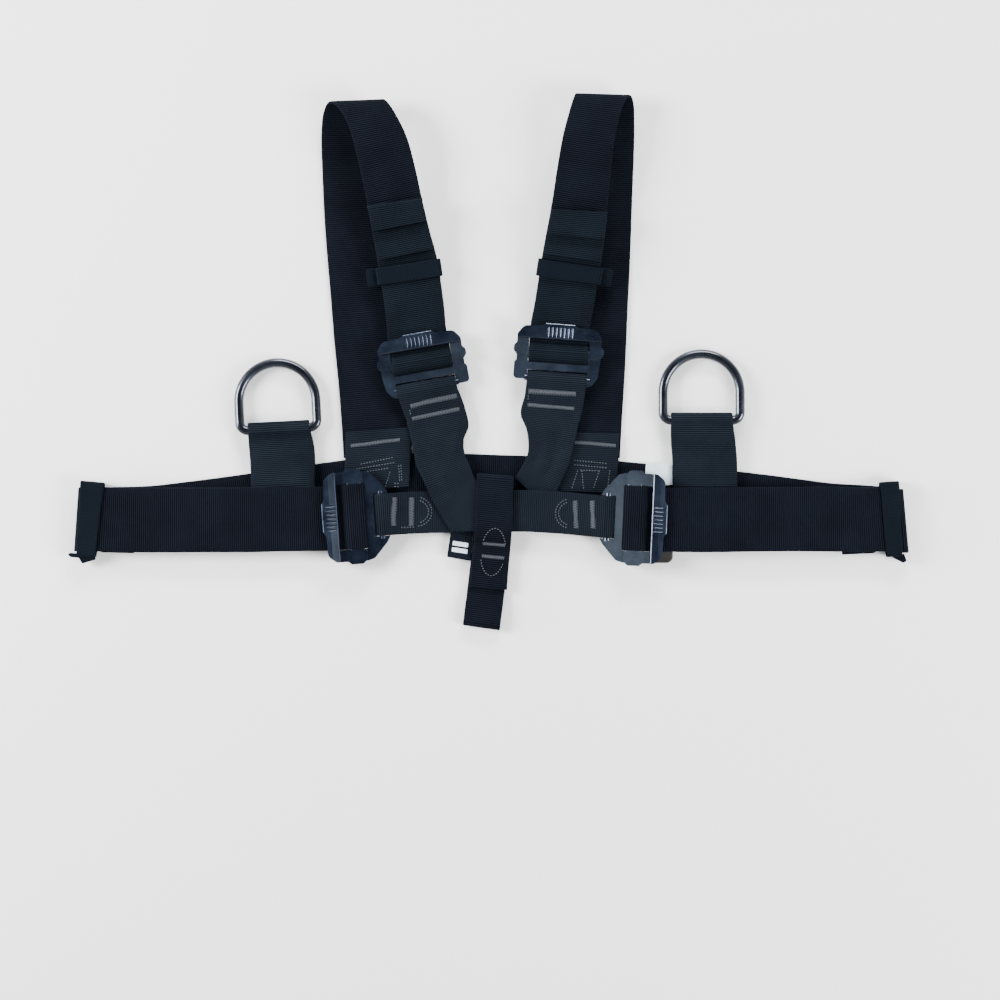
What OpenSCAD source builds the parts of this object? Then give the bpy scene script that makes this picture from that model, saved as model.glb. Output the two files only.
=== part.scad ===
// Body-worn webbing harness, laid flat: a waist belt, a chest strip, a yoke and two shoulder
// straps, joined by four sliding-bar buckles, with two D-rings and a centre loop.
// X runs along the belt, Y runs from the belt up to the shoulders, Z is up from the ground.

/* [Webbing] */
// Thickness of every strap
web_t = 2; // [1.8:0.1:2]
// Width of the waist belt and of the D-ring tabs
belt_w = 50; // [48:0.5:50.5]
// Width of the shoulder straps and of the yoke
shoulder_w = 46; // [44:0.5:46]
// Width of the chest strip
chest_w = 32; // [30:0.5:32]
// Width of the centre loop
loop_w = 29; // [26:0.5:30]
// Free gap between two layers that lie on each other
layer_gap = 0.3; // [0.3:0.05:0.35]

/* [Buckles] */
// Thickness of a buckle's plate
plate_t = 3.2; // [2.8:0.1:3.2]
// Radius of the round bar that the sewn strap holds
end_bar_r = 2.4; // [2:0.1:2.4]
// Thickness of the raised grip bar
grip_t = 4.5; // [3.5:0.1:5]
// Thickness of the sliding bar
slide_t = 2.7; // [2.2:0.1:2.7]
// Height of the waist buckles' plates above the ground, at mid thickness
waist_z = 8.9; // [8.9:0.1:9.2]
// Height of the shoulder buckles' plates above the ground, at mid thickness
shoulder_z = 7.2; // [7.2:0.1:7.5]

/* [D-rings] */
// Diameter of the round wire
wire_d = 7.3; // [6.5:0.1:7.3]
// Clear width inside a ring
ring_w = 52.7; // [52:0.1:54]
// Height of a ring over all
ring_h = 59; // [57:0.5:61]

/* [Keepers and labels] */
// Thickness of the elastic
elastic_t = 1.4; // [1:0.1:1.4]
// Width of a belt keeper's elastic
belt_keeper_w = 17; // [12:1:18]
// Width of a shoulder keeper's elastic
shoulder_keeper_w = 15; // [10:1:15]
// Thickness of a label
label_t = 0.5; // [0.4:0.1:0.6]

/* [Hidden] */
$fn = 48;

web_black = [0.045, 0.05, 0.06];
web_soft = [0.07, 0.08, 0.095];
metal_blue = [0.12, 0.13, 0.18];

// Height of the middle of layer n in a stack that lies on the ground
pitch = web_t + layer_gap;
function layer(n) = web_t / 2 + n * pitch;
// The belt stands on the keepers where they can reach
lift = elastic_t + 0.4;
// A strap that starts to rise leaves the ground by this much first
rest = 0.25;

// Where each buckle lies: the middle of its sewn bar, its heading and its height
waist_left = [[-82.7, -117.8], 184, waist_z];
waist_right = [[93.2, -119.7], -2.5, waist_z];
shoulder_left = [[-47.8, -18.6], 100, shoulder_z];
shoulder_right = [[53.5, -12.4], 86, shoulder_z];

// A buckle's sizes along its heading, from the sewn bar, and across it
WAIST = [
    5.6,   // start of the crossbar
    11.6,  // start of the window
    33.8,  // start of the grip bar
    20.1,  // middle of the sliding bar
    11,    // length of the sliding bar
    16,    // length of a lobe
    25.5,  // half the window's width
    16.6,  // half the sewn slot's width
    5.6,   // reach of the tips past the sewn bar
    7.3,   // where the plate reaches its full width
    21,    // middle of the lobes
    3      // travel of the sliding bar towards the grip bar
];
SHOULDER = [6.2, 12, 30.5, 19, 8, 11, 23.5, 23.4, 5, 2, 22.3, 2];
function cross_u(k) = k[0];
function window_u(k) = k[1];
function grip_u(k) = k[2];
function slide_u(k) = k[3];
function slide_l(k) = k[4];
function lobe_l(k) = k[5];
function window_h(k) = k[6];
function slot_h(k) = k[7];
function tip_u(k) = k[8];
function full_u(k) = k[9];
function lobe_u(k) = k[10];
function travel(k) = k[11];
rail_w = 9.4;        // width of a side rail
grip_l = 10;         // length of the grip bar along the strap, at its ends
grip_bulge = 2.6;    // the thumb pad stands out this far
grip_z = 2.7;        // underside of the grip bar above the plate's middle
turn_l = 4;          // the turned webbing reaches this far under the grip bar
fit = 0.35;          // free gap between moving pieces
function rail_h(k) = window_h(k) + rail_w;

// ---- Shared geometry ----

// A point between two stations, on a smooth curve through all of them
function between(a, b, c, d, t) =
    0.5 * (2 * b + (c - a) * t + (2 * a - 5 * b + 4 * c - d) * t * t
    + (3 * b - a - 3 * c + d) * t * t * t);
// A smooth route through stations [x, y, z, width angle, share of the width drawn in]
function route(s, n = 4) = let (e = len(s) - 1) [
    for (i = [0 : e - 1]) for (k = [0 : n - 1])
        between(s[max(i - 1, 0)], s[i], s[i + 1], s[min(i + 2, e)], k / n),
    s[e]
];
// An arc round a bar at p and height z: angle 0 is ahead along the heading, 90 is up
function round_bar(p, z, heading, r, from, to, side, n = 8, pinch = 0) = [
    for (i = [0 : n]) let (a = from + (to - from) * i / n)
        [p[0] + r * cos(a) * cos(heading), p[1] + r * cos(a) * sin(heading),
         z + r * sin(a), side, pinch]
];
function width_dir(s) = [cos(s[3]), sin(s[3]), 0];
function spot(s) = [s[0], s[1], s[2]];
function unit(v) = v / norm(v);

// A strap of width w and thickness t along a route
module strap(path, w, t = web_t) {
    n = len(path);
    points = [
        for (i = [0 : n - 1])
            let (
                ahead = unit(spot(path[min(i + 1, n - 1)]) - spot(path[max(i - 1, 0)])),
                across = width_dir(path[i]),
                half = w / 2 * (1 - path[i][4]),
                up = unit(cross(across, ahead))
            )
            for (c = [[-1, -1], [1, -1], [1, 1], [-1, 1]])
                spot(path[i]) + across * c[0] * half + up * c[1] * t / 2
    ];
    sides = [
        for (i = [0 : n - 2]) for (j = [0 : 3])
            let (a = 4 * i + j, b = 4 * i + (j + 1) % 4)
            for (f = [[a, b, b + 4], [a, b + 4, a + 4]]) f
    ];
    e = 4 * (n - 1);
    ends = [[0, 3, 2], [0, 2, 1], [e, e + 1, e + 2], [e, e + 2, e + 3]];
    polyhedron(points = points, faces = concat(sides, ends));
}

// An outline with each corner rounded to its own radius: points are [x, y, radius]
function rounded(p, n = 6) = [
    for (i = [0 : len(p) - 1])
        let (
            b = [p[i][0], p[i][1]],
            a = [p[(i + len(p) - 1) % len(p)][0], p[(i + len(p) - 1) % len(p)][1]],
            c = [p[(i + 1) % len(p)][0], p[(i + 1) % len(p)][1]],
            back = unit(a - b), on = unit(c - b),
            half = acos(max(-1, min(1, back * on))) / 2,
            reach = p[i][2] / tan(half),
            middle = b + unit(back + on) * p[i][2] / sin(half),
            start = b + back * reach - middle, stop = b + on * reach - middle,
            a0 = atan2(start[1], start[0]),
            turn = atan2(
                start[0] * stop[1] - start[1] * stop[0], start * stop)
        )
        for (k = [0 : n]) middle + p[i][2] * [cos(a0 + turn * k / n), sin(a0 + turn * k / n)]
];

module plate(outline, low, high)
    translate([0, 0, low]) linear_extrude(high - low) polygon(outline);

module place(where)
    translate([where[0][0], where[0][1], where[2]]) rotate([0, 0, where[1]]) children();

// ---- Buckles ----

// The tapered end of a plate beside the sewn bar, on one side
function tapered_end(k) = [
    [-tip_u(k), slot_h(k) + 0.6, 0.5], [-tip_u(k) + 2, slot_h(k) + 4.5, 1.5],
    [full_u(k), rail_h(k) - 1.5, 4], [window_u(k) + 1, rail_h(k), 4]
];
// A square ear in place of the tapered end
function eared_end(k) = [
    [-tip_u(k) + 3.6, slot_h(k) + 0.6, 0.5], [-tip_u(k) + 3.6, rail_h(k) + 1.1, 3],
    [window_u(k) - 0.6, rail_h(k) + 1.1, 2], [window_u(k) + 1.4, rail_h(k) - 0.6, 1]
];
function grip_end(k) = [
    [grip_u(k) + 3, rail_h(k), 4], [grip_u(k) + grip_l - 0.5, rail_h(k) - 5, 6],
    [grip_u(k) + grip_l, 14, 5], [grip_u(k) + grip_l + grip_bulge, 10, 3]
];
function other_side(p) = [for (i = [len(p) - 1 : -1 : 0]) [p[i][0], -p[i][1], p[i][2]]];
function frame_outline(k, ear) = rounded(concat(
    ear > 0 ? eared_end(k) : tapered_end(k), grip_end(k), other_side(grip_end(k)),
    other_side(ear < 0 ? eared_end(k) : tapered_end(k))
));

module grip_bar(k, ear) {
    long = grip_l + grip_bulge;
    intersection() {
        translate([grip_u(k), -rail_h(k), grip_z])
            rotate([90, 0, 0]) mirror([0, 0, 1])
                linear_extrude(2 * rail_h(k)) polygon(rounded([
                    [0, 0, 1.9], [long, 0, 1.5],
                    [long, grip_t - 1, 1.5], [long / 2, grip_t, 3], [0, grip_t - 0.6, 1.5]
                ]));
        plate(frame_outline(k, ear), grip_z, grip_z + grip_t);
    }
}

// Grooves across the thumb pad
module thumb_grooves(k)
    for (i = [-3 : 3])
        translate([grip_u(k) + 1, 3.1 * i, grip_z + grip_t + 0.5])
            rotate([0, 90, 0]) cylinder(r = 1.1, h = grip_l + 4);

// ear is the side of a square ear, 1 or -1, or 0 for none
module buckle_frame(k, ear) {
    difference() {
        plate(frame_outline(k, ear), -plate_t / 2, plate_t / 2);
        translate([-20, -slot_h(k), -plate_t])
            cube([20 + cross_u(k), 2 * slot_h(k), 2 * plate_t]);
        plate(rounded([
            [window_u(k), -window_h(k), 1.5], [grip_u(k) + 20, -window_h(k), 1.5],
            [grip_u(k) + 20, window_h(k), 1.5], [window_u(k), window_h(k), 1.5]
        ]), -plate_t, plate_t);
    }
    translate([0, -slot_h(k) - 2, 0]) rotate([-90, 0, 0])
        cylinder(r = end_bar_r, h = 2 * slot_h(k) + 4);
    difference() {
        union() {
            grip_bar(k, ear);
            for (side = [-1, 1])
                intersection() {
                    plate(frame_outline(k, ear), -plate_t / 2, grip_z + grip_t - 1);
                    translate([grip_u(k) + 0.4, side > 0 ? window_h(k) : -rail_h(k) - 1,
                        -plate_t / 2])
                        cube([grip_l + 4, rail_w + 1, plate_t + grip_z]);
                }
        }
        thumb_grooves(k);
    }
}

// Sliding bar: it lies over the rails, and its lobed ends hold them from outside and below
module sliding_bar(k) {
    low = plate_t / 2 + 0.3;
    lobe_top = low + slide_t;
    lobe_low = -plate_t / 2 - fit - 1.2;
    out = rail_h(k) + fit + 1.8;
    translate([slide_u(k), window_h(k) + 1, low + slide_t / 2]) rotate([90, 0, 0])
        linear_extrude(2 * window_h(k) + 2) polygon(rounded([
            [-slide_l(k) / 2, -slide_t / 2, 1.2], [slide_l(k) / 2, -slide_t / 2, 1.2],
            [slide_l(k) / 2, slide_t / 2, 1.2], [-slide_l(k) / 2, slide_t / 2, 1.2]
        ]));
    for (side = [-1, 1]) translate([lobe_u(k), 0, 0]) mirror([0, (1 - side) / 2, 0])
        difference() {
            plate(rounded([
                [-lobe_l(k) / 2, window_h(k) + 0.6, 0.4],
                [lobe_l(k) / 2, window_h(k) + 0.6, 0.4],
                [lobe_l(k) / 2, out - 3.2, 2], [lobe_l(k) / 2 - 3.5, out, 2],
                [-lobe_l(k) / 2 + 3.5, out, 2], [-lobe_l(k) / 2, out - 3.2, 2]
            ]), lobe_low, lobe_top);
            translate([-lobe_l(k), 0, -plate_t / 2 - fit])
                cube([2 * lobe_l(k), rail_h(k) + fit, plate_t + fit + 0.3]);
        }
}

// Webbing turned round the sliding bar, down to just under the grip bar
module turned_web(k, w) {
    near = slide_u(k) - slide_l(k) / 2 + slide_t / 2;
    far = slide_u(k) + slide_l(k) / 2;
    r = slide_t / 2 + 0.15 + web_t / 2;
    mid = plate_t / 2 + 0.3 + slide_t / 2;
    // It is flat from here on, so that it can slide in under the grip bar
    g = grip_u(k) - travel(k);
    out = grip_u(k) + turn_l;
    strap(concat(
        route([
            [out, 0, under_h, 90, 0], [g, 0, under_h, 90, 0],
            [(g + far) / 2, 0, mid - r - 0.9, 90, 0], [far - 1, 0, mid - r, 90, 0],
            [near + 1, 0, mid - r, 90, 0]
        ]),
        round_bar([near, 0], mid, 0, r, -90, -270, 90),
        route([
            [near + 1, 0, mid + r, 90, 0], [far - 1, 0, mid + r, 90, 0],
            [(g + far) / 2 - 0.6, 0, mid + r - 1.6, 90, 0], [g - 0.9, 0, over_h + 0.7, 90, 0],
            [g + 2, 0, over_h, 90, 0], [out, 0, over_h, 90, 0]
        ])
    ), w);
}

module waist_turn(where) color(web_black) place(where) turned_web(WAIST, belt_w);
module shoulder_turn(where) color(web_soft) place(where) turned_web(SHOULDER, shoulder_w);
module frame_at(where, k, ear = 0) color(metal_blue) place(where) buckle_frame(k, ear);
module slider_at(where, k) color(metal_blue) place(where) sliding_bar(k);

// A point u along a buckle's heading and h above its plate, as a station
function on_buckle(where, u, h, side) = [
    where[0][0] + u * cos(where[1]), where[0][1] + u * sin(where[1]), where[2] + h, side, 0
];
// Where a strap leaves a buckle, clear of its turned webbing's travel
web_out = turn_l + travel(WAIST) + 0.4;
function bar_end(k) = grip_u(k) + grip_l + grip_bulge + 1;
under_h = -1;
over_h = under_h + pitch;
sewn_r = end_bar_r + 0.4 + web_t / 2;

// ---- Waist belt ----
// Its stack from the ground up: back belt, hem of the tail, tail, load belt
belt_y = -121.5;
end_back = layer(0) + lift;
end_hem = layer(1) + lift;
end_tail = layer(2) + lift;
end_load = layer(3) + lift;
fold_r = (end_load - end_back) / 2;

module back_belt() color(web_black) strap(route([
    [-315.1, belt_y, end_back, 86, 0], [-290, -121.3, end_back, 88, 0],
    [-262, -120.5, end_back, 92, 0], [-232, -117, layer(0) + rest, 96, 0],
    [-185, -111, layer(0), 97, 0], [-140, -104.5, layer(0), 98, 0],
    [-100, -100, layer(0), 95, 0], [-50, -97, layer(0), 92, 0],
    [5, -96.3, layer(0), 90, 0], [60, -98, layer(0), 87, 0],
    [110, -102, layer(0), 85, 0], [160, -106, layer(0), 84.5, 0],
    [210, -111, layer(0), 84.5, 0], [240, -115, layer(0) + rest, 85, 0],
    [266, -118.4, end_back, 87, 0], [292, -119.8, end_back, 90, 0],
    [320.2, -121.6, end_back, 95, 0]
]), belt_w);

module front_belt_left() color(web_black) strap(concat(
    route([
        on_buckle(waist_left, grip_u(WAIST) + web_out, over_h, 94),
        on_buckle(waist_left, bar_end(WAIST), over_h, 93),
        [-150, -121, waist_z + over_h, 91, 0], [-190, -122, waist_z + over_h, 90, 0],
        [-260, -122.2, end_load, 90, 0], [-300, belt_y, end_load, 87, 0],
        [-314.5, belt_y, end_load, 86, 0]
    ]),
    round_bar([-316, belt_y], end_back + fold_r, 180, fold_r, 90, -90, 86),
    [[-315.5, belt_y, end_back, 86, 0]]
), belt_w);

module front_belt_right() color(web_black) strap(concat(
    route([
        on_buckle(waist_right, grip_u(WAIST) + web_out, over_h, 87.5),
        on_buckle(waist_right, bar_end(WAIST), over_h, 88.5),
        [160, -122, waist_z + over_h, 90, 0], [195, -121.8, waist_z + over_h, 90, 0],
        [265, -121.2, end_load, 90, 0], [305, -121.8, end_load, 94, 0],
        [319, -122.6, end_load, 95, 0]
    ]),
    round_bar([321, -122.7], end_back + fold_r, 0, fold_r, 90, -90, 95),
    [[320.6, -122.7, end_back, 95, 0]]
), belt_w);

// The tail runs out under the load belt and ends in a hem folded under itself
module belt_tail(side, where, turn, hem_skew) {
    hem_r = (end_tail - end_hem) / 2;
    color(web_black) strap(concat(
        route([
            on_buckle(where, grip_u(WAIST) + web_out, under_h, 90 - side * turn),
            on_buckle(where, bar_end(WAIST), under_h, 90 - side * turn / 2),
            [side * 160, belt_y, waist_z + under_h, 90, 0],
            [side * 195, belt_y, waist_z + under_h, 90, 0],
            [side * 262, belt_y, end_tail, 90, 0], [side * 300, belt_y, end_tail, 90, 0]
        ]),
        round_bar([side * 303, belt_y], end_hem + hem_r, side > 0 ? 0 : 180, hem_r, 90, -90,
            90, 4),
        route([
            [side * 300, belt_y - hem_skew * 0.6, end_hem, 90, 0],
            [side * 276, belt_y - hem_skew, end_hem, 90 - side, 0]
        ], 2)
    ), belt_w);
}
module belt_tail_left() belt_tail(-1, waist_left, 4, 1.5);
module belt_tail_right() belt_tail(1, waist_right, 2.5, 2.6);

// ---- Chest strip: its two ends are sewn back round the waist buckles' bars ----

module chest_strip() color(web_soft) strap(concat(
    route([
        [-46, -116, layer(1), 90, 0], [-58, -116.4, layer(1) + 0.2, 90, 0],
        [-73.2, -117.3, waist_z - sewn_r - 0.4, 92, 0],
        [-80.2, -117.7, waist_z - sewn_r, 94, 0]
    ]),
    round_bar(waist_left[0], waist_z, waist_left[1], sewn_r, -90, 90, 94),
    route([
        [-80.7, -117.7, waist_z + sewn_r, 94, 0], [-75.2, -117.3, waist_z + 2.3, 92, 0],
        [-66.5, -116.7, layer(2) + 2, 90, 0], [-50, -116, layer(2) + 0.1, 90, 0],
        [-20, -115.4, layer(2), 89, 0], [5, -115, layer(2) + 0.05, 90, 0],
        [17, -115, layer(2) + 0.3, 89, 0], [32, -115, layer(3) + 0.1, 88, 0],
        [58, -116.4, layer(3) + 0.1, 87, 0], [74.5, -118, layer(3) + 0.8, 87, 0],
        [84.2, -119, waist_z + 2.3, 87.5, 0], [90.7, -119.6, waist_z + sewn_r, 87.5, 0]
    ]),
    round_bar(waist_right[0], waist_z, waist_right[1], sewn_r, 90, -90, 87.5),
    route([
        [90.2, -119.6, waist_z - sewn_r, 87.5, 0], [82.2, -118.8, waist_z - sewn_r, 87.5, 0],
        [72.5, -117.9, layer(2), 87, 0], [59, -116.6, layer(2) - 0.1, 87, 0]
    ])
), chest_w);

// ---- Yoke: each side is sewn round its shoulder buckle's bar ----

module yoke_left() color(web_soft) difference() {
    strap(concat(
        route([
            [-37.9, -48.5, 3.4, 12, 0.07], [-40.8, -38, 3.4, 11, 0],
            [-46.6, -23, shoulder_z - sewn_r, 10, 0]
        ]),
        round_bar(shoulder_left[0], shoulder_z, shoulder_left[1], sewn_r, -90, 90, 10),
        route([
            [-47.4, -21, shoulder_z + sewn_r, 10, 0], [-44.4, -30, shoulder_z + 1.2, 11, 0],
            [-39.7, -42, 6.3, 12, 0], [-36.6, -53.5, 6.1, 12, 0.04],
            [-37.3, -64, 6.2, 12, 0.17], [-35.7, -75.5, 6.8, 14, 0.2],
            [-32.5, -84.5, 7.5, 18, 0.18], [-28, -95.5, layer(3) + 0.1, 25, 0.2],
            [-20.3, -108, layer(3) + 0.1, 34, 0.17], [-10.5, -121, layer(3), 38, 0.1],
            [-3, -131, layer(3), 38, 0.1]
        ])
    ), shoulder_w);
    // Trimmed along the chest strip's lower edge
    translate([-60, -131 - shoulder_w, 0]) cube([2 * shoulder_w, shoulder_w, 20]);
}

module yoke_right() color(web_soft) strap(concat(
    route([
        [48.6, -44, 3.4, -4, 0], [50.8, -33, 3.4, -4, 0],
        [53.1, -16.7, shoulder_z - sewn_r, -4, 0]
    ]),
    round_bar(shoulder_right[0], shoulder_z, shoulder_right[1], sewn_r, -90, 90, -4),
    route([
        [53.4, -14.7, shoulder_z + sewn_r, -4, 0], [51.8, -26, shoulder_z + 1.2, -4, 0],
        [48.4, -41, 6.3, -5, 0], [49, -56.5, 6, -10, 0.18],
        [46.8, -74.5, 5.8, -17, 0.29], [40, -90, 5.7, -30, 0.29],
        [36, -103, 4.7, -42, 0.13]
    ])
), shoulder_w);

// ---- Centre loop: over the chest strip, down behind it and round its own lower loop ----

module centre_loop() color(web_soft) strap(concat(
    route([
        [0.3, -175, 6.2, -6, 0], [1.4, -160, 6.2, -6, 0], [2.6, -147, 6.4, -6, 0],
        [3.2, -141, 7.8, -5, 0], [3.8, -133, layer(4) + 0.1, -5, 0],
        [4.8, -112, layer(4) + 0.2, -5, 0], [5.6, -92.5, layer(4), -5, 0]
    ]),
    round_bar([5.7, -91], layer(1) + 1.5 * pitch, 90, 1.5 * pitch, 90, -90, -5, 8),
    route([
        [5.6, -92.5, layer(1), -5, 0], [4.8, -110, layer(1), -5, 0],
        [4, -124, layer(1), -5, 0], [3.2, -134, layer(0) + 0.6, -5, 0],
        [1.4, -150, layer(0) + rest, -6, 0], [-2, -180, layer(0), -7, 0],
        [-4.6, -200.5, layer(0), -8, 0]
    ]),
    round_bar([-4.8, -202.5], layer(0) + 2.6, -97, 2.6, -90, 90, -8),
    route([
        [-4.6, -200.5, layer(0) + 5.3, -8, 0], [-3.4, -190, layer(0) + 5, -8, 0],
        [-1.6, -178, layer(1) + 0.5, -7, 0], [1, -158, layer(1), -6, 0],
        [2.4, -142, layer(1), -6, 0]
    ])
), loop_w);

// ---- Shoulder straps ----
// Up from the back belt, over an open fold, and down to the buckle

module shoulder_strap_left() color(web_black) strap(route([
    [-89.4, -72, layer(0), 4, 0], [-91, -47, layer(0), 4, 0], [-98, 32, layer(0), 4.5, 0],
    [-104.2, 110, layer(0), 3, 0], [-106.6, 160, layer(0) + rest, 1, 0], [-106.6, 182, 3, 0, 0],
    [-105.5, 195, 8, 0, 0.03], [-102.8, 202.3, 14.5, 1, 0.09], [-97.8, 200.5, 21, 5, 0.15],
    [-90.2, 189, 24.5, 10, 0.17], [-82.7, 170, 24.5, 12, 0.11],
    [-76.9, 147, 20.8, 13, 0.09], [-72.1, 124, 16.5, 13, 0.08],
    [-67.4, 101, 13, 12, 0.05], [-61.8, 75, 10, 11, 0], [-57.2, 44, 8, 10, 0],
    on_buckle(shoulder_left, bar_end(SHOULDER), under_h, 10),
    on_buckle(shoulder_left, grip_u(SHOULDER) + web_out, under_h, 10)
], 3), shoulder_w);

module shoulder_strap_right() color(web_black) strap(route([
    [79.8, -73, layer(0), -2, 0], [81.3, -47, layer(0), -3, 0], [84.5, 10, layer(0), -3, 0],
    [88, 90, layer(0), -2, 0], [90.6, 160, layer(0) + rest, -1, 0], [91, 186, 3, 0, 0],
    [91, 200, 8, 0, 0.02], [89.8, 207.2, 14.5, -1, 0.07], [86.6, 204.8, 21, -4, 0.13],
    [82.2, 192, 24.5, -8, 0.16], [77.6, 172, 24.5, -9, 0.14],
    [74.2, 148, 20.8, -9, 0.1], [71.4, 124, 16.5, -9, 0.06],
    [68.3, 101, 13, -9, 0.02], [64, 75, 10, -8, 0], [59.4, 46, 8, -5, 0],
    on_buckle(shoulder_right, bar_end(SHOULDER), under_h, -4),
    on_buckle(shoulder_right, grip_u(SHOULDER) + web_out, under_h, -4)
], 3), shoulder_w);

// The tail lies on the strap, through the keeper, and ends in a hem folded back on itself
module shoulder_tail_left() color(web_soft) strap(concat(
    route([
        on_buckle(shoulder_left, grip_u(SHOULDER) + web_out, over_h, 10),
        on_buckle(shoulder_left, bar_end(SHOULDER), over_h, 10),
        [-57.2, 44, 8 + pitch, 10, 0], [-61.8, 75, 10 + pitch, 11, 0],
        [-67.4, 101, 13 + pitch, 12, 0.05], [-71.6, 121.5, 16.5 + pitch, 9, 0.08]
    ]),
    round_bar([-72, 123], 16.9 + 1.5 * pitch, 98, pitch / 2, -80, 100, 8, 4),
    route([
        [-71.5, 121.2, 16.6 + 2 * pitch, 9, 0.08], [-67.4, 101, 13.1 + 2 * pitch, 12, 0.05],
        [-63.8, 84, 11.2 + 2 * pitch, 12, 0.03]
    ])
), shoulder_w);

module shoulder_tail_right() color(web_soft) strap(concat(
    route([
        on_buckle(shoulder_right, grip_u(SHOULDER) + web_out, over_h, -4),
        on_buckle(shoulder_right, bar_end(SHOULDER), over_h, -4),
        [59.4, 46, 8 + pitch, -5, 0], [64, 75, 10 + pitch, -8, 0],
        [68.3, 101, 13 + pitch, -9, 0.02], [70.7, 117.5, 15.9 + pitch, -9, 0.06]
    ]),
    round_bar([71, 119], 16.2 + 1.5 * pitch, 80, pitch / 2, -80, 100, -10, 4),
    route([
        [70.6, 117.2, 15.9 + 2 * pitch, -9, 0.06], [68.3, 101, 13.1 + 2 * pitch, -9, 0.02],
        [65.5, 84, 11.2 + 2 * pitch, -8, 0]
    ])
), shoulder_w);

// Wider patches join the straps' lower ends to the back belt
module shoulder_patch_left() color(web_soft) strap(route([
    [-85.5, -51.6, layer(1), 4, 0], [-86.4, -74, layer(1), 4, 0], [-88, -98, layer(1), 4, 0]
]), belt_w);
module shoulder_patch_right() color(web_soft) strap(route([
    [77.2, -54.2, layer(1), -2, 0], [76.8, -75, layer(1), -2, 0], [76, -100, layer(1), -2, 0]
]), belt_w);

// ---- D-rings and their tabs ----

tab_r = wire_d / 2 + 0.4 + web_t / 2;
tab_pinch = 0.04;
ring_bar_z = tab_r + web_t / 2 + 0.1;
ring_reach = ring_h - wire_d / 2;
// A ring lies with its far end on the ground
ring_drop = asin((ring_bar_z - wire_d / 2 - 0.05) / (ring_reach - wire_d / 2));
ring_left = [[-162.8, -51.2], 93, ring_bar_z];
ring_right = [[166.3, -44.4], 90, ring_bar_z];

module d_ring(where) color(metal_blue) place(where) rotate([0, ring_drop, 0]) {
    half = (ring_w + wire_d) / 2;
    corner = 6;
    arc_u = ring_reach - wire_d / 2 - half;
    translate([arc_u, 0, 0]) rotate([0, 0, -90])
        rotate_extrude(angle = 180) translate([half, 0]) circle(d = wire_d);
    for (side = [-1, 1]) {
        translate([corner, side * half, 0]) rotate([0, 90, 0])
            cylinder(d = wire_d, h = arc_u - corner);
        translate([corner, side * (half - corner), 0])
            rotate([0, 0, side > 0 ? 90 : 180])
                rotate_extrude(angle = 90) translate([corner, 0]) circle(d = wire_d);
    }
    translate([0, -half + corner, 0]) rotate([-90, 0, 0])
        cylinder(d = wire_d, h = 2 * (half - corner));
}
module d_ring_left() d_ring(ring_left);
module d_ring_right() d_ring(ring_right);

// A tab: up from the back belt, round the ring's straight bar and back
module d_ring_tab(where, foot, belt_top) {
    p = where[0];
    side = where[1] - 90;
    low = p + [-1.5 * cos(where[1]), -1.5 * sin(where[1])];
    step = [p[0] * 0.5 + foot[0] * 0.5, belt_top];
    color(web_black) strap(concat(
        route([
            [foot[0], foot[1], layer(1), side, 0],
            [foot[0], belt_top, layer(1), side, 0],
            [step[0], belt_top + 14, layer(0) + rest, side, 0],
            [low[0], low[1], layer(0) + rest, side, tab_pinch]
        ]),
        round_bar(p, ring_bar_z, where[1], tab_r, -90, 90, side, 10, tab_pinch),
        route([
            [low[0], low[1], ring_bar_z + tab_r, side, tab_pinch],
            [step[0], belt_top + 14, layer(2) + 2.2, side, 0],
            [foot[0], belt_top - 10, layer(2), side, 0],
            [foot[0], foot[1], layer(2), side, 0]
        ])
    ), belt_w);
}
module d_ring_tab_left() d_ring_tab(ring_left, [-159.6, -121], -76);
module d_ring_tab_right() d_ring_tab(ring_right, [169, -121], -77);

// ---- Keepers: elastic loops with their ends sewn together in a flat nub ----

// A loop round an opening of w by h, with its nub at the low end of w
module keeper(w, h, long, nub_w, nub_l, nub_z, nub_x = 0) {
    wall = elastic_t;
    difference() {
        translate([-long / 2, 0, 0]) rotate([90, 0, 90]) linear_extrude(long)
            polygon(rounded([
                [-w / 2 - wall, -wall, 2.6], [w / 2 + wall, -wall, 2.6],
                [w / 2 + wall, h + wall, 2.6], [-w / 2 - wall, h + wall, 2.6]
            ]));
        translate([-long / 2 - 1, 0, 0]) rotate([90, 0, 90]) linear_extrude(long + 2)
            polygon(rounded([
                [-w / 2, 0, 1.2], [w / 2, 0, 1.2], [w / 2, h, 1.2], [-w / 2, h, 1.2]
            ]));
    }
    translate([0, 0, nub_z]) plate(rounded([
        [-long / 2 + 1, -w / 2 - wall / 2, 0.5],
        [nub_x - nub_w / 2, -w / 2 - wall - nub_l, 1],
        [nub_x + nub_w / 2, -w / 2 - wall - nub_l, 1], [long / 2 - 1, -w / 2 - wall / 2, 0.5]
    ]), 0, 2 * wall);
}
belt_keeper_h = end_load + web_t / 2 - (end_back - web_t / 2) + 0.8;
module belt_keeper(x, turn, width, nub_x) color(web_soft)
    translate([x, belt_y + 0.2, elastic_t + 0.02]) rotate([0, 0, turn])
        keeper(belt_w + 5.8, belt_keeper_h, width, 12, 4.5, 3.5, nub_x);
module belt_keeper_left() belt_keeper(-310, -4, belt_keeper_w, -5);
module belt_keeper_right() belt_keeper(314, 3, belt_keeper_w - 3, 2);

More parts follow.
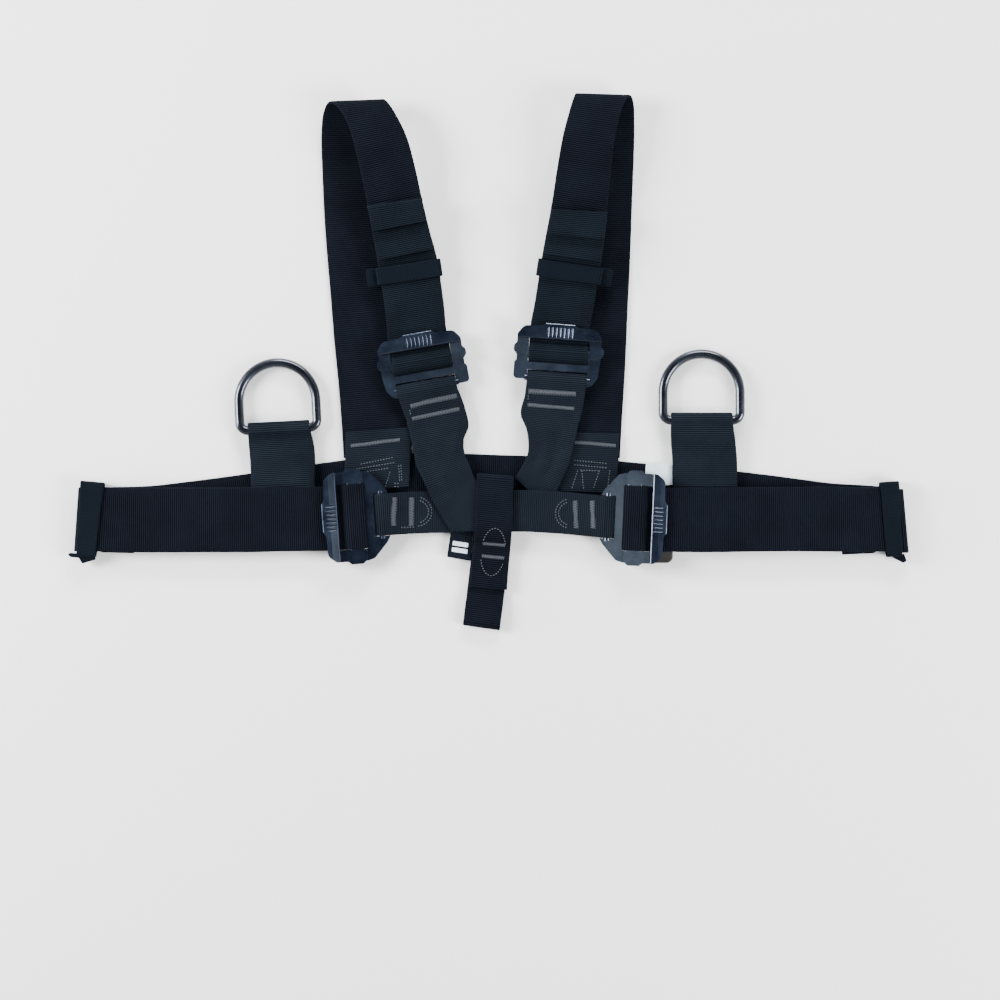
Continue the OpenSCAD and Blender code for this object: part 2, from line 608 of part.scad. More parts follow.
// The strap rises through a shoulder keeper at this angle
shoulder_rise = 4.8;
shoulder_keeper_h = pitch + web_t + 2;
module shoulder_keeper(x, y, turn, nub_side) color(web_soft)
    translate([x, y, 9.4 - web_t / 2 - 0.8]) rotate([0, 0, turn])
        rotate([0, -shoulder_rise, 0])
            mirror([0, nub_side, 0])
                keeper(shoulder_w + 2.4, shoulder_keeper_h, shoulder_keeper_w, 10, 7, 0.8);
module shoulder_keeper_left() shoulder_keeper(-61.4, 71, 98.6, 1);
module shoulder_keeper_right() shoulder_keeper(63.6, 72, 81.3, 0);

// ---- Labels and pad ----

// Folded woven tab, sewn in under the chest strip beside the centre loop
module woven_label() color([0.05, 0.06, 0.075])
    translate([0, 0, layer(1) + 0.3])
        plate(rounded([
            [-28.4, -127, 0.8], [-32, -150.8, 0.8], [-13.4, -154, 0.8], [-11.3, -127, 0.8]
        ]), 0, label_t);
module care_label() color([0.85, 0.86, 0.87])
    translate([131.5, -87, layer(1) - web_t / 2]) rotate([0, 0, -3])
        plate(rounded([[-9, -9, 0.8], [9, -9, 0.8], [9, 9, 0.8], [-9, 9, 0.8]]), 0, label_t);
// Rounded leather tab under the right waist buckle
module buckle_pad() color([0.16, 0.14, 0.12])
    translate([135, -142.5, 4.4])
        plate(rounded([[-9, -13, 4], [9, -13, 5], [9, 13, 4], [-9, 13, 4]]), 0, 2);

module waist_frame_left() frame_at(waist_left, WAIST);
module waist_frame_right() frame_at(waist_right, WAIST);
module waist_slider_left() slider_at(waist_left, WAIST);
module waist_slider_right() slider_at(waist_right, WAIST);
module waist_turn_left() waist_turn(waist_left);
module waist_turn_right() waist_turn(waist_right);
module shoulder_frame_left() frame_at(shoulder_left, SHOULDER, -1);
module shoulder_frame_right() frame_at(shoulder_right, SHOULDER, 1);
module shoulder_slider_left() slider_at(shoulder_left, SHOULDER);
module shoulder_slider_right() slider_at(shoulder_right, SHOULDER);
module shoulder_turn_left() shoulder_turn(shoulder_left);
module shoulder_turn_right() shoulder_turn(shoulder_right);

back_belt();
front_belt_left();
front_belt_right();
belt_tail_left();
belt_tail_right();
chest_strip();
yoke_left();
yoke_right();
centre_loop();
shoulder_strap_left();
shoulder_strap_right();
shoulder_tail_left();
shoulder_tail_right();
shoulder_patch_left();
shoulder_patch_right();
d_ring_tab_left();
d_ring_tab_right();
d_ring_left();
d_ring_right();
waist_frame_left();
waist_frame_right();
waist_slider_left();
waist_slider_right();
waist_turn_left();
waist_turn_right();
shoulder_frame_left();
shoulder_frame_right();
shoulder_slider_left();
shoulder_slider_right();
shoulder_turn_left();
shoulder_turn_right();
belt_keeper_left();
belt_keeper_right();
shoulder_keeper_left();
shoulder_keeper_right();
woven_label();
care_label();
buckle_pad();
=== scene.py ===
"""Looks of the body-worn webbing harness: webbing, stitching, labels and metal round its CAD.

Lengths are written in millimetres, as in the CAD source, and become metres in the meshes.
A station of a strap is [x, y, z, width angle in degrees, share of the width drawn in].
"""

import math

import bmesh
import bpy
import numpy as np
from mathutils import Matrix, Vector
from mathutils.bvhtree import BVHTree


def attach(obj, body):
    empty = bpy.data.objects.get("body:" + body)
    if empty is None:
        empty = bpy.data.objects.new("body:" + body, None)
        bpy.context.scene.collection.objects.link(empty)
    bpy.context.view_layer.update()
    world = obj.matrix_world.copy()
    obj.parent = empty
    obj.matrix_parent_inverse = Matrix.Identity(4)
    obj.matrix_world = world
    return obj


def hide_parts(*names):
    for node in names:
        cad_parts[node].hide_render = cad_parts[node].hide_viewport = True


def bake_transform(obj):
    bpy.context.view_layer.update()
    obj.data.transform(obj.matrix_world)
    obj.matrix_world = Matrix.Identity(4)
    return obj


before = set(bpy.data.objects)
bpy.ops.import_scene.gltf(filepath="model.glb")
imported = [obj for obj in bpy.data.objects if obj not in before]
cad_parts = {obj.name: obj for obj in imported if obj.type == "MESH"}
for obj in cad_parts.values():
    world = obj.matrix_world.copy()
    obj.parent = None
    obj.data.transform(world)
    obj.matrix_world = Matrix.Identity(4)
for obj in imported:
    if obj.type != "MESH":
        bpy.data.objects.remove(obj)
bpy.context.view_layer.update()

MM = 0.001

# ---- Sizes, as in the CAD source ----
WEB_T, LAYER_GAP, ELASTIC_T = 2.0, 0.3, 1.4
BELT_W, SHOULDER_W, CHEST_W, LOOP_W = 50.0, 46.0, 32.0, 29.0
PITCH = WEB_T + LAYER_GAP  # from one layer of a stack to the next
LIFT = ELASTIC_T + 0.4  # the belt's ends lie on their keepers
REST = 0.25  # how much higher a strap lies where it leaves the ground or a stack
END_BAR_R, SLIDE_T, PLATE_T = 2.4, 2.7, 3.2
SEWN_R = END_BAR_R + 0.4 + WEB_T / 2  # middle of the webbing round an end bar
WAIST_Z, SHOULDER_Z = 8.9, 7.2  # height of the buckles' plates
UNDER_H = -1.0  # webbing under a grip bar, from its buckle's plate
OVER_H = UNDER_H + PITCH
TURN_L = 4.0  # how far the turned webbing reaches past the grip bar
WEB_OUT = 7.4  # where the strap and its tail begin, past the grip bar
BAR_OUT = 13.6  # where they have left the buckle
BELT_Y = -121.5

# ---- Sizes of the looks only ----
# The eased widths fill the thin gaps beside the webbing in the buckles' windows and slots with dark
# webbing as painted shade, where the real buckles show shadow
TURN_EASE = 0.3  # the turned webbing and the yokes are this much wider, to fill their windows
CHEST_EASE = 0.6
BELT_BEND, STRAP_BEND = 110, 55  # how far out from the end bar bend_piece finds a point, which it does not use; nothing is bent
FINE_PITCH = 1.5  # of the weft ribs, where they are finer than in the belt


def layer(n):
    """Height of the middle of layer n in a stack that lies on the ground."""
    return WEB_T / 2 + n * PITCH


END_BACK, END_HEM, END_TAIL, END_LOAD = (layer(n) + LIFT for n in range(4))
FOLD_R = (END_LOAD - END_BACK) / 2


class Buckle:
    """Where a buckle lies and the sizes that its webbing needs."""

    def __init__(self, x, y, heading, z, window_u, grip_u, slide_u, slide_l, travel):
        self.at, self.heading, self.z = (x, y), heading, z
        self.window_u, self.grip_u, self.slide_u, self.slide_l = window_u, grip_u, slide_u, slide_l
        self.travel = travel
        self.bar_end = grip_u + BAR_OUT

    def station(self, u, h, side):
        """A station u out from the end bar and h above the plate, with its width at side."""
        a = math.radians(self.heading)
        return [self.at[0] + u * math.cos(a), self.at[1] + u * math.sin(a), self.z + h, side, 0]

    def matrix(self):
        turn = Matrix.Rotation(math.radians(self.heading), 4, "Z")
        return Matrix.Translation((self.at[0], self.at[1], self.z)) @ turn


WAIST = {"left": Buckle(-82.7, -117.8, 184, WAIST_Z, 11.6, 33.8, 20.1, 11, 3),
         "right": Buckle(93.2, -119.7, -2.5, WAIST_Z, 11.6, 33.8, 20.1, 11, 3)}
SHOULDER = {"left": Buckle(-47.8, -18.6, 100, SHOULDER_Z, 12, 30.5, 19, 8, 2),
            "right": Buckle(53.5, -12.4, 86, SHOULDER_Z, 12, 30.5, 19, 8, 2)}


# ---- Routes ----
ROUTE_N = 24  # points in a route between two stations


def route(stations, n=ROUTE_N):
    """A smooth line through stations, as in the CAD source but finer."""
    s = np.array(stations, float)
    e = len(s) - 1
    out = []
    for i in range(e):
        a, b, c, d = s[max(i - 1, 0)], s[i], s[i + 1], s[min(i + 2, e)]
        for k in range(n):
            t = k / n
            out.append(0.5 * (2 * b + (c - a) * t + (2 * a - 5 * b + 4 * c - d) * t * t
                              + (3 * b - a - 3 * c + d) * t ** 3))
    out.append(s[e])
    return out


def round_bar(p, z, heading, r, start, stop, side, n=24, pinch=0.0):
    """An arc round a bar: angle 0 is ahead along the heading, and 90 is up."""
    h = math.radians(heading)
    angles = np.radians(np.linspace(start, stop, n + 1))
    return [np.array([p[0] + r * math.cos(a) * math.cos(h), p[1] + r * math.cos(a) * math.sin(h),
                      z + r * math.sin(a), side, pinch]) for a in angles]


def sewn_loop(buckle, side, up=True):
    """Webbing round an end bar, slack enough to lie close under the cross bar."""
    r = SEWN_R
    # The slack under the cross bar is dark webbing put in the gap there as painted shade; on the
    # real harness that gap holds only shadow
    turn = route([[0, -r], [2.6, -r], [4.6, -3.6], [5.2, -2.8], [4.7, -1.6], [4.3, 0],
                  [3.7, 2.1], [2.1, 3.4], [0, r]], 6)
    path = [np.array(buckle.station(u, h, side)) for u, h in turn]
    return path if up else path[::-1]


# ---- Materials ----
def nodes_of(name):
    material = bpy.data.materials.new(name)
    material.use_nodes = True
    tree = material.node_tree
    return material, tree, tree.nodes["Principled BSDF"]


def math_node(tree, operation, a, b=None, clamp=False):
    node = tree.nodes.new("ShaderNodeMath")
    node.operation = operation
    node.use_clamp = clamp
    for socket, value in zip(node.inputs, (a, b)):
        if value is None:
            continue
        if isinstance(value, (int, float)):
            socket.default_value = value
        else:
            tree.links.new(value, socket)
    return node.outputs[0]


def noise(tree, scale, detail=3.0, roughness=0.55):
    where = tree.nodes.new("ShaderNodeTexCoord")
    node = tree.nodes.new("ShaderNodeTexNoise")
    node.inputs["Scale"].default_value = scale
    node.inputs["Detail"].default_value = detail
    node.inputs["Roughness"].default_value = roughness
    tree.links.new(where.outputs["Object"], node.inputs["Vector"])
    return node.outputs["Fac"]


def ramp(tree, factor, low, high, at=(0.3, 0.7)):
    node = tree.nodes.new("ShaderNodeValToRGB")
    for element, colour, place in zip(node.color_ramp.elements, (low, high), at):
        element.color = (*colour, 1)
        element.position = place
    tree.links.new(factor, node.inputs["Fac"])
    return node.outputs["Color"]


def bump(tree, height, strength, distance):
    node = tree.nodes.new("ShaderNodeBump")
    node.inputs["Strength"].default_value = strength
    node.inputs["Distance"].default_value = distance
    tree.links.new(height, node.inputs["Height"])
    return node.outputs["Normal"]


def webbing_material(name, dark, light, pitch, warp_pitch=0.9, roughness=0.75, sheen=0.02):
    """Woven webbing: weft ribs across the strap, warp yarns along it, fuzz, uneven dye, and painted
    shade in the rib grooves with a painted highlight on the rib crests.
    """
    material, tree, shader = nodes_of(name)
    uv = tree.nodes.new("ShaderNodeUVMap")
    uv.uv_map = "strap"
    split = tree.nodes.new("ShaderNodeSeparateXYZ")
    tree.links.new(uv.outputs["UV"], split.inputs["Vector"])
    along, over = split.outputs["X"], split.outputs["Y"]
    rib = math_node(tree, "SINE", math_node(tree, "MULTIPLY", along, 2 * math.pi / (pitch * MM)))
    row = math_node(tree, "FLOOR", math_node(tree, "MULTIPLY", along, 1 / (pitch * MM)))
    shift = math_node(tree, "MULTIPLY", row, math.pi)
    turn = math_node(tree, "MULTIPLY", over, 2 * math.pi / (warp_pitch * MM))
    yarn = math_node(tree, "SINE", math_node(tree, "ADD", turn, shift))
    fuzz = noise(tree, 2600, 2.0)
    blotch = noise(tree, 34, 4.0)
    # Painted shade and highlight: the colour is darker in the grooves of the ribs and lighter on
    # their crests
    tone = math_node(tree, "MULTIPLY", rib, 0.4)
    tone = math_node(tree, "ADD", tone, math_node(tree, "MULTIPLY", yarn, 0.05))
    tone = math_node(tree, "ADD", tone, math_node(tree, "MULTIPLY", fuzz, 0.35))
    tone = math_node(tree, "ADD", tone, math_node(tree, "MULTIPLY", blotch, 0.65))
    tree.links.new(ramp(tree, tone, dark, light, (0.22, 0.88)), shader.inputs["Base Color"])
    relief = math_node(tree, "ADD", math_node(tree, "MULTIPLY", yarn, 0.3), fuzz)
    tree.links.new(bump(tree, relief, 0.55, 0.00012), shader.inputs["Normal"])
    rough = math_node(tree, "ADD", math_node(tree, "MULTIPLY", blotch, 0.2), roughness - 0.1)
    tree.links.new(rough, shader.inputs["Roughness"])
    shader.inputs["Specular IOR Level"].default_value = 0.03
    shader.inputs["Sheen Weight"].default_value = sheen
    shader.inputs["Sheen Roughness"].default_value = 0.45
    shader.inputs["Sheen Tint"].default_value = (0.25, 0.32, 0.45, 1)
    return material


def thread_material(name, dark, light):
    material, tree, shader = nodes_of(name)
    grain = noise(tree, 3200, 2.0)
    tree.links.new(ramp(tree, grain, dark, light), shader.inputs["Base Color"])
    tree.links.new(bump(tree, grain, 0.6, 0.00008), shader.inputs["Normal"])
    shader.inputs["Roughness"].default_value = 0.55
    shader.inputs["Sheen Weight"].default_value = 0.2
    return material


def metal_material(name, dark, light, roughness, grain_depth):
    """Glossy coated metal, with faint cast unevenness, fine scratches and patches of wear."""
    material, tree, shader = nodes_of(name)
    patch = noise(tree, 55, 5.0, 0.6)
    grain = noise(tree, 900, 3.0)
    tree.links.new(ramp(tree, patch, dark, light, (0.35, 0.75)), shader.inputs["Base Color"])
    rough = math_node(tree, "ADD", math_node(tree, "MULTIPLY", patch, 0.22), roughness - 0.08)
    rough = math_node(tree, "ADD", rough, math_node(tree, "MULTIPLY", grain, 0.08), clamp=True)
    tree.links.new(rough, shader.inputs["Roughness"])
    uneven = math_node(tree, "ADD", math_node(tree, "MULTIPLY", patch, 2.0), grain)
    tree.links.new(bump(tree, uneven, 0.35, grain_depth), shader.inputs["Normal"])
    shader.inputs["Metallic"].default_value = 0.9
    shader.inputs["Coat Weight"].default_value = 0.6
    shader.inputs["Coat Roughness"].default_value = 0.12
    return material


def leather_material(name, dark, light):
    material, tree, shader = nodes_of(name)
    pebble = tree.nodes.new("ShaderNodeTexVoronoi")
    pebble.inputs["Scale"].default_value = 900
    where = tree.nodes.new("ShaderNodeTexCoord")
    tree.links.new(where.outputs["Object"], pebble.inputs["Vector"])
    tone = noise(tree, 120, 4.0)
    tree.links.new(ramp(tree, tone, dark, light), shader.inputs["Base Color"])
    tree.links.new(bump(tree, pebble.outputs["Distance"], 0.5, 0.00015), shader.inputs["Normal"])
    shader.inputs["Roughness"].default_value = 0.5
    return material


# Each material made by webbing_material spans its uneven dye and the painted shade and highlight of
# its ribs between its two colours
BLACK = webbing_material("webbing_black", (0.0002, 0.0003, 0.0012), (0.0058, 0.0076, 0.0132), 1.6)
CHARCOAL = webbing_material(
    "webbing_charcoal", (0.0010, 0.0020, 0.0040), (0.0100, 0.0138, 0.0200), 1.5, 0.8)
TAIL_CHARCOAL = webbing_material(
    "webbing_charcoal_tail", (0.0005, 0.0013, 0.0025), (0.0065, 0.0099, 0.0145), 1.5, 0.8)
ELASTIC = webbing_material(
    "elastic", (0.0010, 0.0024, 0.0045), (0.0050, 0.0073, 0.0110), 1.1, 0.7, 0.8, 0.03)
LABEL_DARK = webbing_material(
    "label_dark", (0.0018, 0.0030, 0.0055), (0.0068, 0.0105, 0.0175), 0.5, 0.45, 0.6)
LABEL_PALE = webbing_material(
    "label_pale", (0.55, 0.60, 0.68), (0.76, 0.83, 0.92), 0.5, 0.45, 0.6)
CARE_WHITE = webbing_material(
    "care_white", (0.48, 0.60, 0.66), (0.74, 0.86, 0.90), 0.45, 0.4, 0.6)
THREAD = thread_material("thread", (0.0075, 0.011, 0.017), (0.022, 0.032, 0.047))
BUCKLE_METAL = metal_material(
    "buckle_metal", (0.010, 0.016, 0.034), (0.040, 0.056, 0.092), 0.24, 0.00006)
RING_METAL = metal_material(
    "ring_metal", (0.014, 0.017, 0.026), (0.040, 0.046, 0.062), 0.20, 0.00003)
LEATHER = leather_material("leather_tab", (0.006, 0.005, 0.004), (0.022, 0.018, 0.015))


# ---- Meshes ----
def add_mesh(name, points, faces, material, uv=None, where=None):
    """A smooth-shaded object from points in millimetres, put where a matrix says, with the
    strap's own length and width as UV."""
    points = np.array(points, float)
    if where is not None:
        m = np.array(where)
        points = points @ m[:3, :3].T + m[:3, 3]
        if np.linalg.det(m[:3, :3]) < 0:
            faces = [face[::-1] for face in faces]
    mesh = bpy.data.meshes.new(name)
    mesh.from_pydata((points * MM).tolist(), [], faces)
    if uv is not None:
        layer_uv = mesh.uv_layers.new(name="strap")
        corner = np.zeros(len(mesh.loops), np.int32)
        mesh.loops.foreach_get("vertex_index", corner)
        layer_uv.data.foreach_set("uv", np.array(uv, np.float32)[corner].ravel())
    mesh.polygons.foreach_set("use_smooth", [True] * len(mesh.polygons))
    mesh.materials.append(material)
    mesh.update()
    made = bpy.data.objects.new(name, mesh)
    bpy.context.scene.collection.objects.link(made)
    return made


EDGE = 0.9  # how far the rounding of a selvedge reaches in
EDGE_STEPS = 4
INNER_STEPS = 13


def columns(half):
    """Places across a strap, from edge to edge, and the share of the thickness at each."""
    turn = np.linspace(0, math.pi / 2, EDGE_STEPS + 1)[:-1]
    rim = half - EDGE * (1 - np.cos(turn))
    inner = np.linspace(-(half - EDGE), half - EDGE, INNER_STEPS)
    place = np.concatenate([-rim, inner, rim[::-1]])
    share = np.concatenate([np.sin(turn), np.ones(INNER_STEPS), np.sin(turn)[::-1]])
    return place, share


def web(name, path, width, material, thick=WEB_T, step=0.36, pitch=1.6, rib=0.3, cup=0.0,
        fold=0.0, flat_y=-1000, wave=0.08, where=None):
    """A strap along a path: weft ribs, rounded selvedges, and edges and folds that stand up
    where it is drawn in, but not below flat_y, where other straps lie on it."""
    line = np.array(path, float)
    keep = np.concatenate([[True], np.linalg.norm(np.diff(line[:, :3], axis=0), axis=1) > 1e-6])
    line = line[keep]
    length = np.concatenate([[0], np.cumsum(np.linalg.norm(np.diff(line[:, :3], axis=0), axis=1))])
    rows = int(length[-1] / step)
    s = np.linspace(0, length[-1], rows + 1)
    fine = np.stack([np.interp(s, length, line[:, k]) for k in range(5)], 1)
    ahead = np.gradient(fine[:, :3], axis=0)
    ahead /= np.linalg.norm(ahead, axis=1)[:, None]
    angle = np.radians(fine[:, 3])
    across = np.stack([np.cos(angle), np.sin(angle), np.zeros(len(s))], 1)
    up = np.cross(across, ahead)
    up /= np.linalg.norm(up, axis=1)[:, None]
    place, share = columns(width / 2)
    crest = (0.5 + 0.5 * np.sin(2 * math.pi * s / pitch)) ** 0.7
    edge = np.clip((np.abs(place) - (width / 2 - 2.4)) / 1.2, 0, 1)
    groove = rib * (1 - crest)[:, None] * (1 - 0.65 * edge)[None, :]
    drift = wave * (np.sin(s / 23.0 + len(name)) + 0.6 * np.sin(s / 9.7 + 2.1 * len(name)))
    narrow = 1 - fine[:, 4] + 0.004 * np.sin(s / 14.0 + len(name))
    loose = fine[:, 4] * np.clip((fine[:, 1] - flat_y) / 12, 0, 1)
    points, uv = [], []
    for sign in (1, -1):
        order = slice(None) if sign == 1 else slice(-2, 0, -1)
        p, t, g = place[order], share[order], groove[:, order]
        centre = fine[:, None, :3] + across[:, None, :] * (p[None, :] * narrow[:, None])[:, :, None]
        lift = sign * (thick / 2 - g) * t[None, :] + drift[:, None]
        spot = centre + up[:, None, :] * lift[:, :, None]
        ridge = cup * (p / (width / 2)) ** 2 + fold * (0.5 + 0.5 * np.cos(0.33 * p + 1.2))
        spot[:, :, 2] += loose[:, None] * ridge[None, :]
        points.append(spot)
        uv.append(np.stack(np.broadcast_arrays(s[:, None], p[None, :]), 2))
    points = np.concatenate(points, 1)
    uv = np.concatenate(uv, 1).reshape(-1, 2) * MM
    count = points.shape[1]
    i = np.arange(rows)[:, None] * count
    j = np.arange(count)[None, :]
    k = (j + 1) % count
    quads = np.stack([i + j, i + count + j, i + count + k, i + k], 2).reshape(-1, 4).tolist()
    ends = [list(range(count)), list(range(rows * count + count - 1, rows * count - 1, -1))]
    return add_mesh(name, points.reshape(-1, 3), quads + ends, material, uv, where)


def trim_below(made, y):
    """Cuts off what lies below y and closes the cut."""
    mesh = bmesh.new()
    mesh.from_mesh(made.data)
    cut = bmesh.ops.bisect_plane(
        mesh, geom=mesh.verts[:] + mesh.edges[:] + mesh.faces[:], plane_co=(0, y * MM, 0),
        plane_no=(0, -1, 0), clear_outer=True)
    rim = [e for e in cut["geom_cut"] if isinstance(e, bmesh.types.BMEdge)]
    bmesh.ops.holes_fill(mesh, edges=rim)
    mesh.to_mesh(made.data)
    mesh.free()


def slab(name, outline, low, high, material, round_r=0.6, crown=0.0, where=None, rings=5):
    """A flat piece with rounded rims from a convex outline, a little crowned on top."""
    edge = np.array(outline, float)
    middle = edge.mean(0)
    reach = np.linalg.norm(edge - middle, axis=1)
    levels = []
    for sign, z in ((-1, low), (1, high)):
        angles = np.linspace(0, math.pi / 2, rings)
        if sign == 1:
            angles = angles[::-1]
        for a in angles:
            inset = round_r * (1 - math.sin(a))
            levels.append((inset, z - sign * round_r * (1 - math.cos(a))))
    points, faces = [], []
    n = len(edge)

    def ring(inset, z):
        scale = (1 - inset / reach)[:, None]
        p = middle + (edge - middle) * scale
        points.extend([[x, y, z] for x, y in p])
        return len(points) - n

    def join(a, b):
        for q in range(n):
            r = (q + 1) % n
            faces.append([a + q, a + r, b + r, b + q])

    starts = [ring(inset, z) for inset, z in levels]
    for a, b in zip(starts, starts[1:]):
        join(a, b)
    for sign, z, last in ((1, high, starts[-1]), (-1, low, starts[0])):
        for share in (0.25, 0.5, 0.75):
            p = middle + (edge - middle) * ((1 - round_r / reach) * (1 - share))[:, None]
            rise = crown * math.sin(share * math.pi / 2) if sign == 1 else 0
            points.extend([[x, y, z + rise] for x, y in p])
            now = len(points) - n
            join(last, now) if sign == 1 else join(now, last)
            last = now
        points.append([middle[0], middle[1], z + (crown if sign == 1 else 0)])
        tip = len(points) - 1
        for q in range(n):
            r = (q + 1) % n
            faces.append([last + q, last + r, tip] if sign == 1 else [last + r, last + q, tip])
    uv = np.array(points)[:, [1, 0]] * MM
    return add_mesh(name, points, faces, material, uv, where)


def rounded(points, n=8):
    """An outline through corners [x, y, radius], with arcs at the corners."""
    out = []
    count = len(points)
    for i in range(count):
        a, b, c = (np.array(points[(i + d) % count][:2], float) for d in (-1, 0, 1))
        r = points[i][2]
        back, on = (a - b) / np.linalg.norm(a - b), (c - b) / np.linalg.norm(c - b)
        half = math.acos(max(-1, min(1, float(back @ on)))) / 2
        reach = r / math.tan(half)
        bisect = (back + on) / np.linalg.norm(back + on)
        centre = b + bisect * r / math.sin(half)
        start, stop = b + back * reach - centre, b + on * reach - centre
        a0 = math.atan2(start[1], start[0])
        turn = math.atan2(start[0] * stop[1] - start[1] * stop[0], float(start @ stop))
        for k in range(n + 1):
            angle = a0 + turn * k / n
            out.append(centre + r * np.array([math.cos(angle), math.sin(angle)]))
    return out


# ---- Stitching: threads laid on the surface under them ----
class Surface:
    """The top of some pieces, for finding the height at a place."""

    def __init__(self, *objects):
        points, faces = [], []
        for o in objects:
            base = len(points)
            points.extend(v.co.copy() for v in o.data.vertices)
            faces.extend([base + k for k in p.vertices] for p in o.data.polygons)
        self.tree = BVHTree.FromPolygons(points, faces)

    def top(self, x, y):
        hit = self.tree.ray_cast(Vector((x * MM, y * MM, 0.1)), Vector((0, 0, -1)))[0]
        return None if hit is None else hit.z / MM


class Threads:
    """Many small threads in one mesh."""

    def __init__(self, surface):
        self.surface = surface
        self.points, self.faces = [], []

    def stitch(self, a, b, sides=6, steps=6, radius=0.4):
        """One stitch from a to b, standing out of the webbing in the middle."""
        a, b = np.array(a, float), np.array(b, float)
        along = (b - a) / max(np.linalg.norm(b - a), 1e-6)
        over = np.array([-along[1], along[0]])
        base = len(self.points)
        heights = [self.surface.top(*(a + (b - a) * k / steps)) for k in range(steps + 1)]
        if None in heights:
            return
        for k in range(steps + 1):
            t = k / steps
            swell = math.sin(math.pi * t) ** 0.4 if 0 < k < steps else 0.35
            middle = a + (b - a) * t
            z = heights[k] - 0.12 + 0.3 * math.sin(math.pi * t)
            for q in range(sides):
                angle = 2 * math.pi * q / sides
                flat = middle + over * radius * swell * math.cos(angle)
                self.points.append([*flat, z + radius * swell * math.sin(angle)])
        for k in range(steps):
            for q in range(sides):
                r = (q + 1) % sides
                low, high = base + k * sides, base + (k + 1) * sides
                self.faces.append([low + q, low + r, high + r, high + q])
        self.faces.append([base + q for q in range(sides - 1, -1, -1)])
        self.faces.append([base + steps * sides + q for q in range(sides)])

    def tack(self, a, b, width, spacing=0.62):
        """A bar tack from a to b: close threads across its line, leaning a little to and fro."""
        a, b = np.array(a, float), np.array(b, float)
        along = (b - a) / np.linalg.norm(b - a)
        over = np.array([-along[1], along[0]]) * width / 2
        count = int(np.linalg.norm(b - a) / spacing)
        for k in range(count):
            middle = a + (b - a) * (k + 0.5) / count
            lean = along * 0.22 * (1 if k % 2 else -1)
            self.stitch(middle - over - lean, middle + over + lean, 5, 4, 0.3)

    def line(self, corners, length=1.4, spacing=2.2):
        """A run of straight stitches along a line of points."""
        p = np.array(corners, float)
        at = np.concatenate([[0], np.cumsum(np.linalg.norm(np.diff(p, axis=0), axis=1))])
        for k in range(int(at[-1] / spacing)):
            ends = [k * spacing + 0.4, k * spacing + 0.4 + length]
            a, b = ([np.interp(e, at, p[:, 0]), np.interp(e, at, p[:, 1])] for e in ends)
            self.stitch(a, b)

    def make(self, name):
        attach(add_mesh(name, self.points, self.faces, THREAD), "harness")


def arc(centre, rx, ry, start, stop, turn=0.0):
    """Points on part of an ellipse, turned by some degrees."""
    t = np.radians(np.linspace(start, stop, 40))
    c, s = math.cos(math.radians(turn)), math.sin(math.radians(turn))
    x, y = rx * np.cos(t), ry * np.sin(t)
    return np.stack([centre[0] + c * x - s * y, centre[1] + s * x + c * y], 1)


def place_piece(made, node, body="harness"):
    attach(made, body)
    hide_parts(node)
    return made


def bend_piece(made, node, buckle, far):
    """A strap whose placing is baked into its mesh, with its CAD part hidden; nothing bends it to
    its buckle, and the places near its buckle and at far, out from the end bar, are found but not
    used."""
    near = Vector(buckle.station(buckle.grip_u + WEB_OUT, 0, 0)[:3]) * MM
    away = Vector(buckle.station(far, 0, 0)[:3]) * MM
    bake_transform(made)
    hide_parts(node)
    return made


# ---- Waist belt ----
L0, L1, L2, L3, L4 = (layer(n) for n in range(5))

back = web("back_belt_webbing", route([
    [-315.1, BELT_Y, END_BACK, 86, 0], [-290, -121.3, END_BACK, 88, 0],
    [-262, -120.5, END_BACK, 92, 0], [-232, -117, L0 + REST, 96, 0],
    [-185, -111, L0, 97, 0], [-140, -104.5, L0, 98, 0], [-100, -99, L0, 95, 0],
    [-55, -94.8, L0, 92, 0], [5, -96.3, L0, 90, 0], [60, -98, L0, 87, 0], [110, -102, L0, 85, 0],
    [160, -106, L0, 84.5, 0], [210, -111, L0, 84.5, 0], [240, -115, L0 + REST, 85, 0],
    [266, -118.4, END_BACK, 87, 0], [292, -119.8, END_BACK, 90, 0],
    [320.2, -121.6, END_BACK, 95, 0]]), BELT_W, BLACK, wave=0.0)
place_piece(back, "back_belt")

FRONT = {
    "left": ([[-150, -121, WAIST_Z + OVER_H, 91, 0], [-190, -122, WAIST_Z + OVER_H, 90, 0],
              [-260, -122.2, END_LOAD, 90, 0], [-300, BELT_Y, END_LOAD, 87, 0],
              [-314.5, BELT_Y, END_LOAD, 86, 0]], [-316, BELT_Y], 180, 86, (94, 93)),
    "right": ([[160, -122, WAIST_Z + OVER_H, 90, 0], [195, -121.8, WAIST_Z + OVER_H, 90, 0],
               [265, -121.2, END_LOAD, 90, 0], [305, -121.8, END_LOAD, 94, 0],
               [319, -122.6, END_LOAD, 95, 0]], [321, -122.7], 0, 95, (87.5, 88.5))}
for side, (stations, fold, heading, angle, starts) in FRONT.items():
    buckle = WAIST[side]
    path = route([buckle.station(buckle.grip_u + WEB_OUT, OVER_H, starts[0]),
                  buckle.station(buckle.bar_end, OVER_H, starts[1])] + stations)
    path += round_bar(fold, END_BACK + FOLD_R, heading, FOLD_R, 90, -90, angle)
    path += [[fold[0] - 0.5 * math.cos(math.radians(heading)), fold[1], END_BACK, angle, 0]]
    made = web(f"front_belt_{side}_webbing", path, BELT_W, BLACK, wave=0.05)
    bend_piece(made, f"front_belt_{side}", buckle,
               BELT_BEND)

